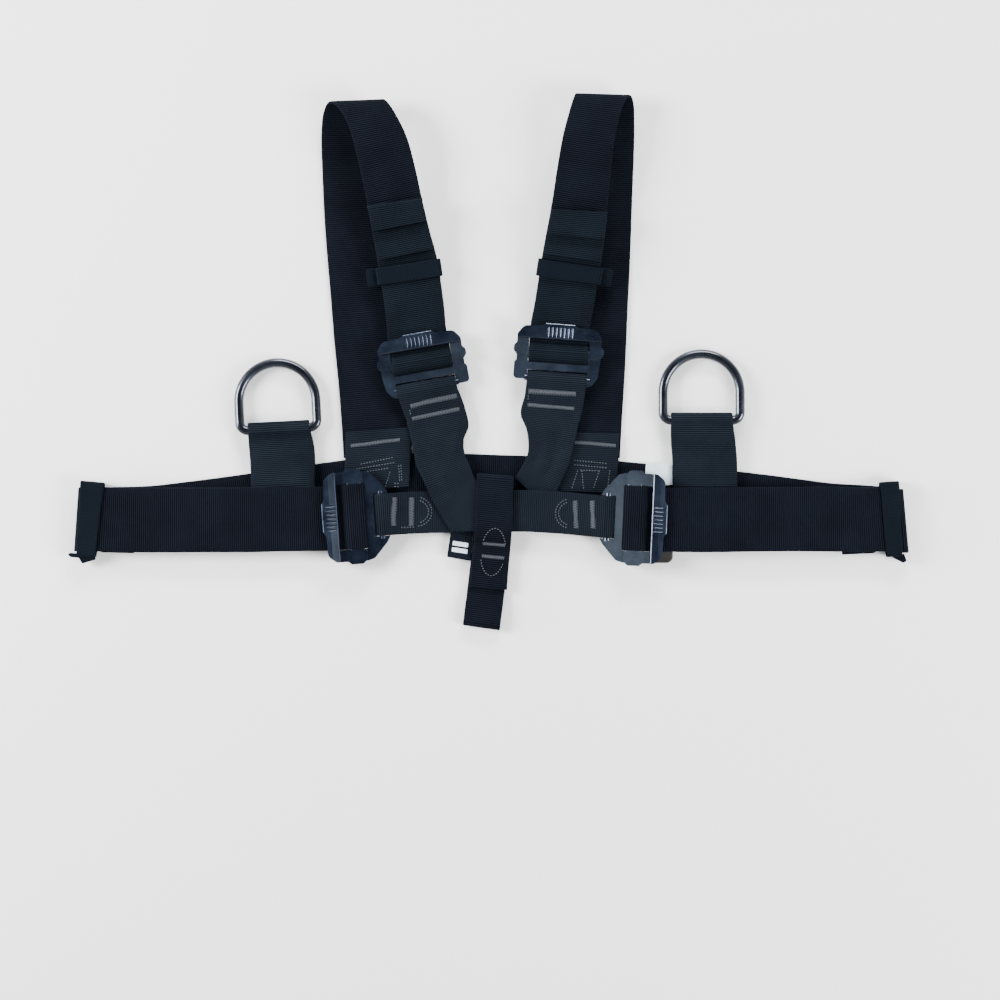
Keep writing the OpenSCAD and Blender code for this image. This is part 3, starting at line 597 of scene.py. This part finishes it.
TAILS = {"left": (-1, 4, 1.5), "right": (1, 2.5, 2.6)}
for side, (sign, turn, skew) in TAILS.items():
    buckle = WAIST[side]
    hem_r = (END_TAIL - END_HEM) / 2
    path = route([buckle.station(buckle.grip_u + WEB_OUT, UNDER_H, 90 - sign * turn),
                  buckle.station(buckle.bar_end, UNDER_H, 90 - sign * turn / 2),
                  [sign * 160, BELT_Y, WAIST_Z + UNDER_H, 90, 0],
                  [sign * 195, BELT_Y, WAIST_Z + UNDER_H, 90, 0],
                  [sign * 262, BELT_Y, END_TAIL, 90, 0], [sign * 300, BELT_Y, END_TAIL, 90, 0]])
    path += round_bar([sign * 303, BELT_Y], END_HEM + hem_r, 0 if sign > 0 else 180, hem_r,
                      90, -90, 90)
    path += route([[sign * 300, BELT_Y - skew * 0.6, END_HEM, 90, 0],
                   [sign * 276, BELT_Y - skew, END_HEM, 90 - sign, 0]])
    made = web(f"belt_tail_{side}_webbing", path, BELT_W, BLACK, wave=0.05)
    bend_piece(made, f"belt_tail_{side}", buckle,
               BELT_BEND)

# ---- Chest strip ----
chest = web("chest_strip_webbing", route([
    [-46, -116, L1, 90, 0], [-58, -116.4, L1 + 0.2, 90, 0],
    [-73.2, -117.3, WAIST_Z - SEWN_R - 0.4, 92, 0],
    [-80.2, -117.7, WAIST_Z - SEWN_R, 94, 0]])
    + sewn_loop(WAIST["left"], 94)
    + route([
        [-80.7, -117.7, WAIST_Z + SEWN_R, 94, 0], [-75.2, -117.3, WAIST_Z + 2.3, 92, 0],
        [-66.5, -116.7, L2 + 2, 90, 0], [-50, -116, L2 + 0.1, 90, 0], [-20, -115.4, L2, 89, 0],
        [5, -115, L2 + 0.05, 90, 0], [17, -115, L2 + 0.3, 89, 0], [32, -115, L3 + 0.1, 88, 0],
        [58, -116.4, L3 + 0.1, 87, 0], [74.5, -118, L3 + 0.8, 87, 0],
        [84.2, -119, WAIST_Z + 2.3, 87.5, 0], [90.7, -119.6, WAIST_Z + SEWN_R, 87.5, 0]])
    + sewn_loop(WAIST["right"], 87.5, up=False)
    + route([
        [90.2, -119.6, WAIST_Z - SEWN_R, 87.5, 0], [82.2, -118.8, WAIST_Z - SEWN_R, 87.5, 0],
        [72.5, -117.9, L2, 87, 0], [59, -116.6, L2 - 0.1, 87, 0]]),
    CHEST_W + CHEST_EASE, CHARCOAL, pitch=FINE_PITCH, wave=0.03)
place_piece(chest, "chest_strip")

# ---- Yokes ----
yoke_l = web("yoke_left_webbing", route([
    [-37.9, -48.5, 3.4, 12, 0.07], [-40.8, -38, 3.4, 11, 0],
    [-46.6, -23, SHOULDER_Z - SEWN_R, 10, 0]])
    + sewn_loop(SHOULDER["left"], 10)
    + route([
        [-47.4, -21, SHOULDER_Z + SEWN_R, 10, 0], [-44.4, -30, SHOULDER_Z + 1.2, 11, 0],
        [-40, -42, 6.3, 12, -0.01], [-37.6, -53.5, 6.1, 12, 0.0], [-38.4, -64, 6.2, 12, 0.13],
        [-36.8, -75.5, 6.8, 14, 0.16], [-32.5, -84.5, 7.5, 18, 0.18],
        [-28, -95.5, L3 + 0.1, 25, 0.2], [-20.3, -108, L3 + 0.1, 34, 0.17],
        [-10.5, -121, L3, 38, 0.1], [-3, -131, L3, 38, 0.1]]),
    SHOULDER_W + TURN_EASE, CHARCOAL, pitch=FINE_PITCH, cup=6, fold=7, flat_y=-98)
trim_below(yoke_l, -131)  # its end is level with the edge of the chest strip
place_piece(yoke_l, "yoke_left")
yoke_r = web("yoke_right_webbing", route([
    [48.6, -44, 3.4, -4, 0], [50.8, -33, 3.4, -4, 0], [53.1, -16.7, SHOULDER_Z - SEWN_R, -4, 0]])
    + sewn_loop(SHOULDER["right"], -4)
    + route([
        [53.4, -14.7, SHOULDER_Z + SEWN_R, -4, 0], [51.8, -26, SHOULDER_Z + 1.2, -4, 0],
        [48.4, -41, 6.3, -5, 0], [49, -56.5, 6, -10, 0.18], [46.8, -74.5, 5.8, -17, 0.29],
        [40, -90, 5.7, -30, 0.29], [36, -103, 4.7, -42, 0.13]]),
    SHOULDER_W + TURN_EASE, CHARCOAL, pitch=FINE_PITCH, cup=6, fold=5, flat_y=-90)
place_piece(yoke_r, "yoke_right")

# ---- Centre loop ----
loop = web("centre_loop_webbing", route([
    [0.3, -175, 6.2, -6, 0], [1.4, -160, 6.2, -6, 0], [2.6, -147, 6.4, -6, 0],
    [3.2, -141, 7.8, -5, 0], [3.8, -133, L4 + 0.1, -5, 0], [4.8, -112, L4 + 0.2, -5, 0],
    [5.6, -92.5, L4, -5, 0]])
    + round_bar([5.7, -91], L1 + 1.5 * PITCH, 90, 1.5 * PITCH, 90, -90, -5)
    + route([
        [5.6, -92.5, L1, -5, 0], [4.8, -110, L1, -5, 0], [4, -124, L1, -5, 0],
        [3.2, -134, L0 + 0.6, -5, 0], [1.4, -150, L0 + REST, -6, 0], [-2, -180, L0, -7, 0],
        [-4.6, -200.5, L0, -8, 0]])
    + round_bar([-4.8, -202.5], L0 + 2.6, -97, 2.6, -90, 90, -8)
    + route([
        [-4.6, -200.5, L0 + 5.3, -8, 0], [-3.4, -190, L0 + 5, -8, 0],
        [-1.6, -178, L1 + 0.5, -7, 0], [1, -158, L1, -6, 0], [2.4, -142, L1, -6, 0]]),
    LOOP_W, BLACK, pitch=FINE_PITCH, wave=0.03)
place_piece(loop, "centre_loop")

# ---- Shoulder straps, tails and patches ----
STRAPS = {
    "left": ([
        [-87.2, -72, L0, 4, -0.1], [-88.8, -47, L0, 4, -0.1], [-92.2, -10, L0, 4, -0.08],
        [-98, 32, L0, 4.5, 0],
        [-104.2, 110, L0, 3, 0], [-106.6, 160, L0 + REST, 1, 0], [-106.6, 182, 3, 0, 0],
        [-105.5, 195, 8, 0, 0.03], [-102.8, 202.3, 14.5, 1, 0.09], [-97.8, 200.5, 21, 5, 0.15],
        [-90.2, 189, 24.5, 10, 0.17], [-82.7, 170, 24.5, 12, 0.11], [-76.9, 147, 20.8, 13, 0.09],
        [-72.1, 124, 16.5, 13, 0.08], [-67.4, 101, 13, 12, 0.05], [-61.8, 75, 10, 11, 0],
        [-57.2, 44, 8, 10, 0]], 10),
    "right": ([
        [79.8, -73, L0, -2, 0], [81.3, -47, L0, -3, 0], [84.5, 10, L0, -3, 0],
        [88, 90, L0, -2, 0], [90.6, 160, L0 + REST, -1, 0], [91, 186, 3, 0, 0],
        [91, 200, 8, 0, 0.02], [89.8, 207.2, 14.5, -1, 0.07], [86.6, 204.8, 21, -4, 0.13],
        [82.2, 192, 24.5, -8, 0.16], [77.6, 172, 24.5, -9, 0.14], [74.2, 148, 20.8, -9, 0.1],
        [71.4, 124, 16.5, -9, 0.06], [68.3, 101, 13, -9, 0.02], [64, 75, 10, -8, 0],
        [59.4, 46, 8, -5, 0]], -4)}
straps = {}
for side, (stations, angle) in STRAPS.items():
    buckle = SHOULDER[side]
    path = route(stations + [buckle.station(buckle.bar_end, UNDER_H, angle),
                             buckle.station(buckle.grip_u + WEB_OUT, UNDER_H, angle)])
    # In two lengths that meet under the strap's end: the one on the floor passes under the
    #     buckle and stays with the harness, and the upper one only has its placing baked by
    #     bend_piece
    cut = ROUTE_N * (len(stations) - 3)
    low = web(f"shoulder_strap_{side}_webbing", path[:cut + 1], SHOULDER_W, BLACK, wave=0.05)
    place_piece(low, f"shoulder_strap_{side}")
    high = web(f"shoulder_strap_{side}_upper", path[cut:], SHOULDER_W, BLACK, wave=0.05)
    bend_piece(high, f"shoulder_strap_{side}", buckle,
               STRAP_BEND)
    straps[side] = low

TAIL_STATIONS = {
    "left": (10, [[-57.2, 44, 8 + PITCH, 10, 0], [-61.8, 75, 10 + PITCH, 11, 0],
                  [-67.4, 101, 13 + PITCH, 12, 0.05], [-71.6, 121.5, 16.5 + PITCH, 9, 0.08]],
             [-72, 123], 16.9 + 1.5 * PITCH, 98, 8,
             [[-71.5, 121.2, 16.6 + 2 * PITCH, 9, 0.08], [-67.4, 101, 13.1 + 2 * PITCH, 12, 0.05],
              [-63.8, 84, 13.2 + 2 * PITCH, 12, 0.03]]),
    "right": (-4, [[59.4, 46, 8 + PITCH, -5, 0], [64, 75, 10 + PITCH, -8, 0],
                   [68.3, 101, 13 + PITCH, -9, 0.02], [70.7, 116.5, 15.8 + PITCH, -5, 0.06]],
              [70.8, 115.8], 15.9 + 1.5 * PITCH, 86, -3,
              [[70.7, 116.2, 15.8 + 2 * PITCH, -4, 0.06], [68.3, 101, 13.1 + 2 * PITCH, -9, 0.02],
               [65.1, 81.6, 13.2 + 2 * PITCH, -8, 0]])}
for side, (angle, stations, turn_at, turn_z, heading, turn_angle, hem) in TAIL_STATIONS.items():
    buckle = SHOULDER[side]
    path = route([buckle.station(buckle.grip_u + WEB_OUT, OVER_H, angle),
                  buckle.station(buckle.bar_end, OVER_H, angle)] + stations)
    path += round_bar(turn_at, turn_z, heading, PITCH / 2, -80, 100, turn_angle, pinch=0.06)
    path += route(hem)
    made = web(f"shoulder_tail_{side}_webbing", path, SHOULDER_W, TAIL_CHARCOAL,
               pitch=FINE_PITCH, wave=0.05)
    bend_piece(made, f"shoulder_tail_{side}", buckle,
               STRAP_BEND)

# The hem is rolled once more, so a shorter layer lies on top of it
FLAPS = {"left": [[-71.8, 122.6, 17.1 + 2.6 * PITCH, 8, 0.08],
                  [-70.4, 116, 15.9 + 3 * PITCH, 10, 0.075],
                  [-68.2, 105.2, 15.6 + 3 * PITCH, 11, 0.06]],
         "right": [[70.8, 117.2, 16.2 + 2.6 * PITCH, -3.5, 0.06],
                   [70, 111, 15 + 3 * PITCH, -4.5, 0.05],
                   [67.7, 97.6, 14.8 + 3 * PITCH, -5, 0.02]]}
for side, stations in FLAPS.items():
    made = web(f"shoulder_flap_{side}_webbing", route(stations), SHOULDER_W, TAIL_CHARCOAL,
               pitch=FINE_PITCH, wave=0.05)
    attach(made, "harness")

PATCHES = {"left": [[-84.9, -51.6, L1, 4, -0.03], [-85.6, -74, L1, 4, -0.03],
                    [-87.2, -98, L1, 4, -0.03]],
           "right": [[77.2, -54.2, L1, -2, 0], [76.8, -75, L1, -2, 0], [76, -100, L1, -2, 0]]}
patches = {}
for side, stations in PATCHES.items():
    made = web(f"shoulder_patch_{side}_webbing", route(stations), BELT_W, CHARCOAL,
               pitch=FINE_PITCH, wave=0.02)
    patches[side] = place_piece(made, f"shoulder_patch_{side}")

# ---- D-ring tabs ----
TAB_R, RING_BAR_Z, TAB_PINCH = 5.05, 6.15, 0.04
RINGS = {"left": ([-162.8, -51.2], 93, [-159.6, -121], -76),
         "right": ([166.3, -44.4], 90, [169, -121], -77)}
for side, (p, heading, foot, belt_top) in RINGS.items():
    angle = heading - 90
    low = [p[0] - 1.5 * math.cos(math.radians(heading)),
           p[1] - 1.5 * math.sin(math.radians(heading))]
    step_x = (p[0] + foot[0]) / 2
    path = route([[foot[0], foot[1], L1, angle, 0], [foot[0], belt_top, L1, angle, 0],
                  [step_x, belt_top + 14, L0 + REST, angle, 0],
                  [*low, L0 + REST, angle, TAB_PINCH]])
    path += round_bar(p, RING_BAR_Z, heading, TAB_R, -90, 90, angle, pinch=TAB_PINCH)
    path += route([[*low, RING_BAR_Z + TAB_R, angle, TAB_PINCH],
                   [step_x, belt_top + 14, L2 + 2.2, angle, 0],
                   [foot[0], belt_top - 10, L2, angle, 0], [*foot, L2, angle, 0]])
    made = web(f"d_ring_tab_{side}_webbing", path, BELT_W, CHARCOAL, wave=0.03)
    place_piece(made, f"d_ring_tab_{side}")


# ---- Webbing turned round the sliding bars ----
def turned_path(buckle):
    """Webbing over the sliding bar and back, rolled down beside the cross bar and slack under
    it; the first number of each station is how far out it is, the second its height."""
    near = buckle.slide_u - buckle.slide_l / 2 + SLIDE_T / 2 + 2
    far = buckle.slide_u + buckle.slide_l / 2
    edge = buckle.window_u + 0.35 + WEB_T / 2
    mid = PLATE_T / 2 + 0.3 + SLIDE_T / 2
    high = mid + SLIDE_T / 2 + 0.4 + WEB_T / 2
    g, out = buckle.grip_u - buckle.travel, buckle.grip_u + TURN_L
    roll = [(near - (near - edge) * math.sin(a), mid + (high - mid) * math.cos(a))
            for a in np.radians(np.linspace(0, 90, 9))]
    # The low run that reaches under the cross bar is dark webbing put in the gap there as painted
    # shade; on the real buckle that gap holds only shadow
    stations = ([(out, UNDER_H), (g, UNDER_H), (g - 4, -2.2), (far - 3, -3.1), (edge + 5, -3.3),
                 (edge + 1.6, -3.4), (edge - 0.2, -3.2), (edge - 0.7, -2.2), (edge - 0.1, -0.9),
                 (edge, 1)] + roll[::-1]
                + [(near + 1.5, high), (far - 1, high), ((g + far) / 2 - 0.6, high - 1.6),
                   (g - 0.9, OVER_H + 0.7), (g + 2, OVER_H), (out, OVER_H)])
    return route([[u, 0, h, 90, 0] for u, h in stations], 12)


for kind, buckles, width, material in (("waist", WAIST, BELT_W, BLACK),
                                       ("shoulder", SHOULDER, SHOULDER_W, TAIL_CHARCOAL)):
    for side, buckle in buckles.items():
        made = web(f"{kind}_turn_{side}_webbing", turned_path(buckle), width + TURN_EASE,
                   material, wave=0.0, where=buckle.matrix())
        place_piece(made, f"{kind}_turn_{side}", f"{kind}_bar_{side}")


# ---- Keepers ----
def keeper(name, w, h, long, taper, nubs, where):
    """An elastic loop round an opening of w by h, narrower by its taper at the low end, where
    its ends are sewn together in flat nubs: each is an outline and its lowest height."""
    half, wall = w / 2 + ELASTIC_T / 2, ELASTIC_T
    low, high, r = -wall / 2, h + wall / 2, 1.9
    corners = rounded([[-half, low, r], [half, low, r], [half, high, r], [-half, high, r]])
    start = [-half, nubs[0][1] + wall]
    ring = [start, *corners, start]
    path = []
    for a, b in zip(ring, ring[1:]):
        count = max(1, int(np.linalg.norm(np.array(b) - a) / 2))
        for k in range(count):
            p = np.array(a) + (np.array(b) - a) * k / count
            path.append([0, p[0], p[1], 0, taper * (0.5 - 0.5 * p[0] / half)])
    path.append([0, start[0], start[1], 0, taper])
    made = web(f"{name}_elastic", path, long, ELASTIC, ELASTIC_T, pitch=1.1, rib=0.04, wave=0,
               where=where)
    place_piece(made, name, name)
    for k, (outline, base) in enumerate(nubs):
        nub = slab(f"{name}_nub_{k + 1}", rounded(outline), base, base + 2 * wall, ELASTIC, 0.9,
                   0.4, where=where)
        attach(nub, name)


def placed(x, y, z, turn, rise=0.0, mirror=False):
    """A matrix for a piece at a place, turned on the level and then raised, in degrees."""
    m = (Matrix.Translation((x, y, z)) @ Matrix.Rotation(math.radians(turn), 4, "Z")
         @ Matrix.Rotation(math.radians(-rise), 4, "Y"))
    return m @ Matrix.Scale(-1, 4, (0, 1, 0)) if mirror else m


BELT_KEEPER_H = END_LOAD + WEB_T / 2 - (END_BACK - WEB_T / 2) + 0.8
BELT_NUBS = {
    "left": [([[-15, -28.9, 0.9], [-12.5, -27.4, 0.9], [-3, -27.6, 0.8], [-3, -30.8, 0.8],
               [-12, -30.8, 1]], 3.2),
             ([[-6.6, -29.6, 1], [-2.6, -35, 1], [7.6, -31, 1], [6.4, -26, 1]], 4.1)],
    "right": [([[-4.6, -28, 1], [6.5, -34.6, 1.4], [9.6, -33.6, 1.4], [8, -27.6, 1]], 3.5)]}
for side, x, turn, width in (("left", -310, -5, 18.5), ("right", 314, 4, 15)):
    keeper(f"belt_keeper_{side}", BELT_W + 5.8, BELT_KEEPER_H, width, 0.2, BELT_NUBS[side],
           placed(x, BELT_Y + 0.2, ELASTIC_T + 0.02, turn))
SHOULDER_NUB = [[-6.9, -24.6, 0.8], [-6.6, -33.6, 1.2], [6.6, -33.2, 1.2], [6.9, -24.6, 0.8]]
STRAP_RISE = 4.8  # degrees, of the straps under their keepers
for side, x, y, turn, mirror in (("left", -61.4, 71, 98.6, True),
                                 ("right", 63.5, 71.2, 81.3, False)):
    keeper(f"shoulder_keeper_{side}", SHOULDER_W + 2.4, PITCH + WEB_T + 2, 13.6, 0,
           [(SHOULDER_NUB, 0.8)],
           placed(x, y, 9.4 - WEB_T / 2 - 0.8, turn, STRAP_RISE, mirror))

# ---- Labels and pad ----
label = slab("woven_label_cloth", rounded([
    [-28.4, -127, 0.8], [-32, -150.8, 0.8], [-13.4, -154, 0.8], [-11.3, -127, 0.8]]),
    L1 + 0.3, L1 + 0.8, LABEL_DARK, 0.2)
place_piece(label, "woven_label")
# Two plain bars stand for the photo's mark
label_top, label_end = np.array([-29.2, -131.0]), np.array([-31.5, -150])
across, drop = np.array([17.2, -2.6]), np.array([-0.12, -0.99]) * 3.4
for k, share in enumerate((0.36, 0.62)):
    low = label_top * (1 - share) + label_end * share
    a, b = low + across * 0.16, low + across * 0.86
    bar = slab(f"woven_label_bar_{k + 1}", rounded([
        [*a, 0.6], [*(a + drop), 0.6], [*(b + drop), 0.6], [*b, 0.6]]),
        L1 + 0.7, L1 + 1.0, LABEL_PALE, 0.12)
    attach(bar, "harness")
CARE_AT = (131.5, -87, L1 - WEB_T / 2)
care = slab("care_label_cloth", rounded([
    [-9, -9, 0.6], [1.5, -9.4, 0.6], [2, 8.8, 0.6], [-8.8, 9.2, 0.6]]),
    0, 0.5, CARE_WHITE, 0.2, 0.4, placed(*CARE_AT, -3))
place_piece(care, "care_label")
leaf = slab("care_label_leaf", rounded([
    [-1.8, -8.3, 0.6], [12, -8.2, 0.6], [12.2, 8.6, 0.6], [-1.4, 8.9, 0.6]]),
    0.55, 0.95, CARE_WHITE, 0.15, 0.8, placed(*CARE_AT, 1.5))
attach(leaf, "harness")
pad = slab("buckle_pad_leather", rounded([[-9, -13, 4], [9, -13, 5], [9, 13, 4], [-9, 13, 4]]),
           0, 2, LEATHER, 0.8, 0.3, placed(135, -142.5, 4.4, 0))
place_piece(pad, "buckle_pad")

# ---- Stitching ----
threads = Threads(Surface(patches["left"], yoke_l, chest, straps["left"]))
threads.tack([-106.9, -64.4], [-68.6, -59.4], 3.2)
threads.line([[-99.5, -78.6], [-71.9, -73]])
threads.line([[-103, -82.4], [-70.5, -77]])
threads.line([[-99, -85.2], [-76, -81.4]])
for top, low in (([-98, -86], [-96.7, -99]), ([-76, -84], [-80.5, -97.5]),
                 ([-69.5, -79], [-68.6, -93]), ([-67.9, -78.6], [-67, -93]),
                 ([-73.4, -93.4], [-67, -93.8]), ([-73.4, -96], [-67, -96.4])):
    threads.line([top, low])
threads.make("patch_left_stitching")

threads = Threads(Surface(patches["right"], straps["right"], yoke_r))
threads.tack([67.5, -61.7], [99.5, -64], 3.2)
threads.line([[66.5, -75.6], [94.9, -78.2]])
threads.line([[66.5, -79], [94.5, -81.6]])
threads.line([[71.4, -83.2], [88, -83.8]])
for x0, x1 in ((70, 64.8), (73, 74.6), (87, 81.7), (95, 93)):
    threads.line([[x0, -83], [x1, -99]])
threads.make("patch_right_stitching")

threads = Threads(Surface(chest))
for x in (-72.7, -59.3):
    threads.tack([x, -104.6], [x - 0.6, -126.5], 4.6)
for reach in (9.8, 12.3):
    threads.line(arc([-56, -115.5], reach, reach - 0.8, 75, -85))
threads.line([[-57, -127.5], [-70, -128]])
for x in (67.8, 81):
    threads.tack([x, -107], [x + 0.8, -128.5], 4)
for reach in (9.6, 12):
    threads.line(arc([64.5, -117], reach, reach - 0.5, 105, 265))
threads.make("chest_stitching")

threads = Threads(Surface(yoke_l))
threads.tack([-60.3, -33.5], [-24.1, -25.2], 4.4)
threads.tack([-59, -43.3], [-22.2, -35.5], 3.6)
threads.line([[-60.8, -36], [-60, -41.5]])
threads.make("yoke_left_stitching")
threads = Threads(Surface(yoke_r))
threads.tack([31.5, -21.9], [68.4, -23.9], 4.4)
threads.tack([30.9, -32.3], [67.1, -35.5], 3.6)
threads.line([[31.4, -24.5], [31, -30]])
threads.make("yoke_right_stitching")

threads = Threads(Surface(loop))
threads.tack([-4, -140.4], [13.4, -141.8], 3.2)
threads.tack([-4.7, -150], [12.7, -151.6], 3.2)
threads.line(arc([4, -147], 9.5, 18.5, 20, 160, -6))
threads.line(arc([4, -147], 9.5, 18.5, 200, 340, -6))
threads.make("centre_loop_stitching")

# ---- Metal ----
for name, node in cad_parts.items():
    if "_frame_" in name or "_slider_" in name:
        material, slot, width = BUCKLE_METAL, "buckle_metal", 0.45
    elif name in ("d_ring_left", "d_ring_right"):
        material, slot, width = RING_METAL, "ring_metal", 0
    else:
        continue
    node.data.materials.clear()
    node.data.materials.append(material)
    node.data.polygons.foreach_set("material_index", [0] * len(node.data.polygons))
    if width:
        bevel = node.modifiers.new("rounded_edges", "BEVEL")
        bevel.width = width * MM
        bevel.segments = 3
        bevel.limit_method = "ANGLE"
        bevel.angle_limit = math.radians(40)
        bevel.harden_normals = True

# ---- Floor, light and camera ----
floor_material, tree, shader = nodes_of("floor_white")
shader.inputs["Base Color"].default_value = (0.97, 0.97, 0.97, 1)
shader.inputs["Roughness"].default_value = 0.9
bpy.ops.mesh.primitive_plane_add(size=6, location=(0, 0, -0.0004))
floor = bpy.context.object
floor.name = "floor"
floor.data.materials.append(floor_material)


def soft_light(name, place, aim, size, power, colour=(1, 1, 1)):
    data = bpy.data.lights.new(name, "AREA")
    data.shape = "RECTANGLE"
    data.size, data.size_y = size
    data.energy = power
    data.color = colour
    light = bpy.data.objects.new(name, data)
    light.location = place
    light.rotation_euler = (Vector(aim) - Vector(place)).to_track_quat("-Z", "Y").to_euler()
    bpy.context.scene.collection.objects.link(light)


soft_light("key", (-1.72, 0.34, 1.08), (0, 0, 0), (0.8, 0.8), 97)
soft_light("side", (-1.8, -0.1, 0.36), (0, 0, 0), (0.9, 0.3), 27)
soft_light("fill", (1.6, -0.6, 1.1), (0, -0.1, 0), (0.9, 0.9), 66)
soft_light("back", (0.3, 1.9, 1.0), (0, 0, 0), (1.4, 0.4), 74)
# Small lights beside the camera that the right waist buckle and the shoulder buckles mirror
BLUE = (0.72, 0.88, 1.0)
soft_light("glint_right", (0.22, -0.14, 2.9), (0.1, -0.12, 0), (0.14, 0.2), 0.68, BLUE)
soft_light("glint_top", (-0.02, 0.16, 2.9), (-0.03, 0, 0), (0.24, 0.1), 0.28, BLUE)

# The room is darkest overhead, so that level metal stays dark and its edges catch the light
world = bpy.data.worlds.new("studio")
world.use_nodes = True
tree = world.node_tree
direction = tree.nodes.new("ShaderNodeTexCoord")
split = tree.nodes.new("ShaderNodeSeparateXYZ")
tree.links.new(direction.outputs["Generated"], split.inputs["Vector"])
room = tree.nodes.new("ShaderNodeValToRGB")
room.color_ramp.elements[0].position, room.color_ramp.elements[1].position = 0.35, 0.95
room.color_ramp.elements[0].color = (1, 1, 1, 1)
room.color_ramp.elements[1].color = (0.10, 0.11, 0.13, 1)
tree.links.new(split.outputs["Z"], room.inputs["Fac"])
tree.links.new(room.outputs["Color"], tree.nodes["Background"].inputs["Color"])
tree.nodes["Background"].inputs["Strength"].default_value = 1.15
bpy.context.scene.world = world

camera_data = bpy.data.cameras.new("camera")
camera_data.sensor_width = 36
camera_data.lens = 138.5
camera = bpy.data.objects.new("camera", camera_data)
camera.location = (0.00936, -0.10647, 3.0)
bpy.context.scene.collection.objects.link(camera)
bpy.context.scene.camera = camera
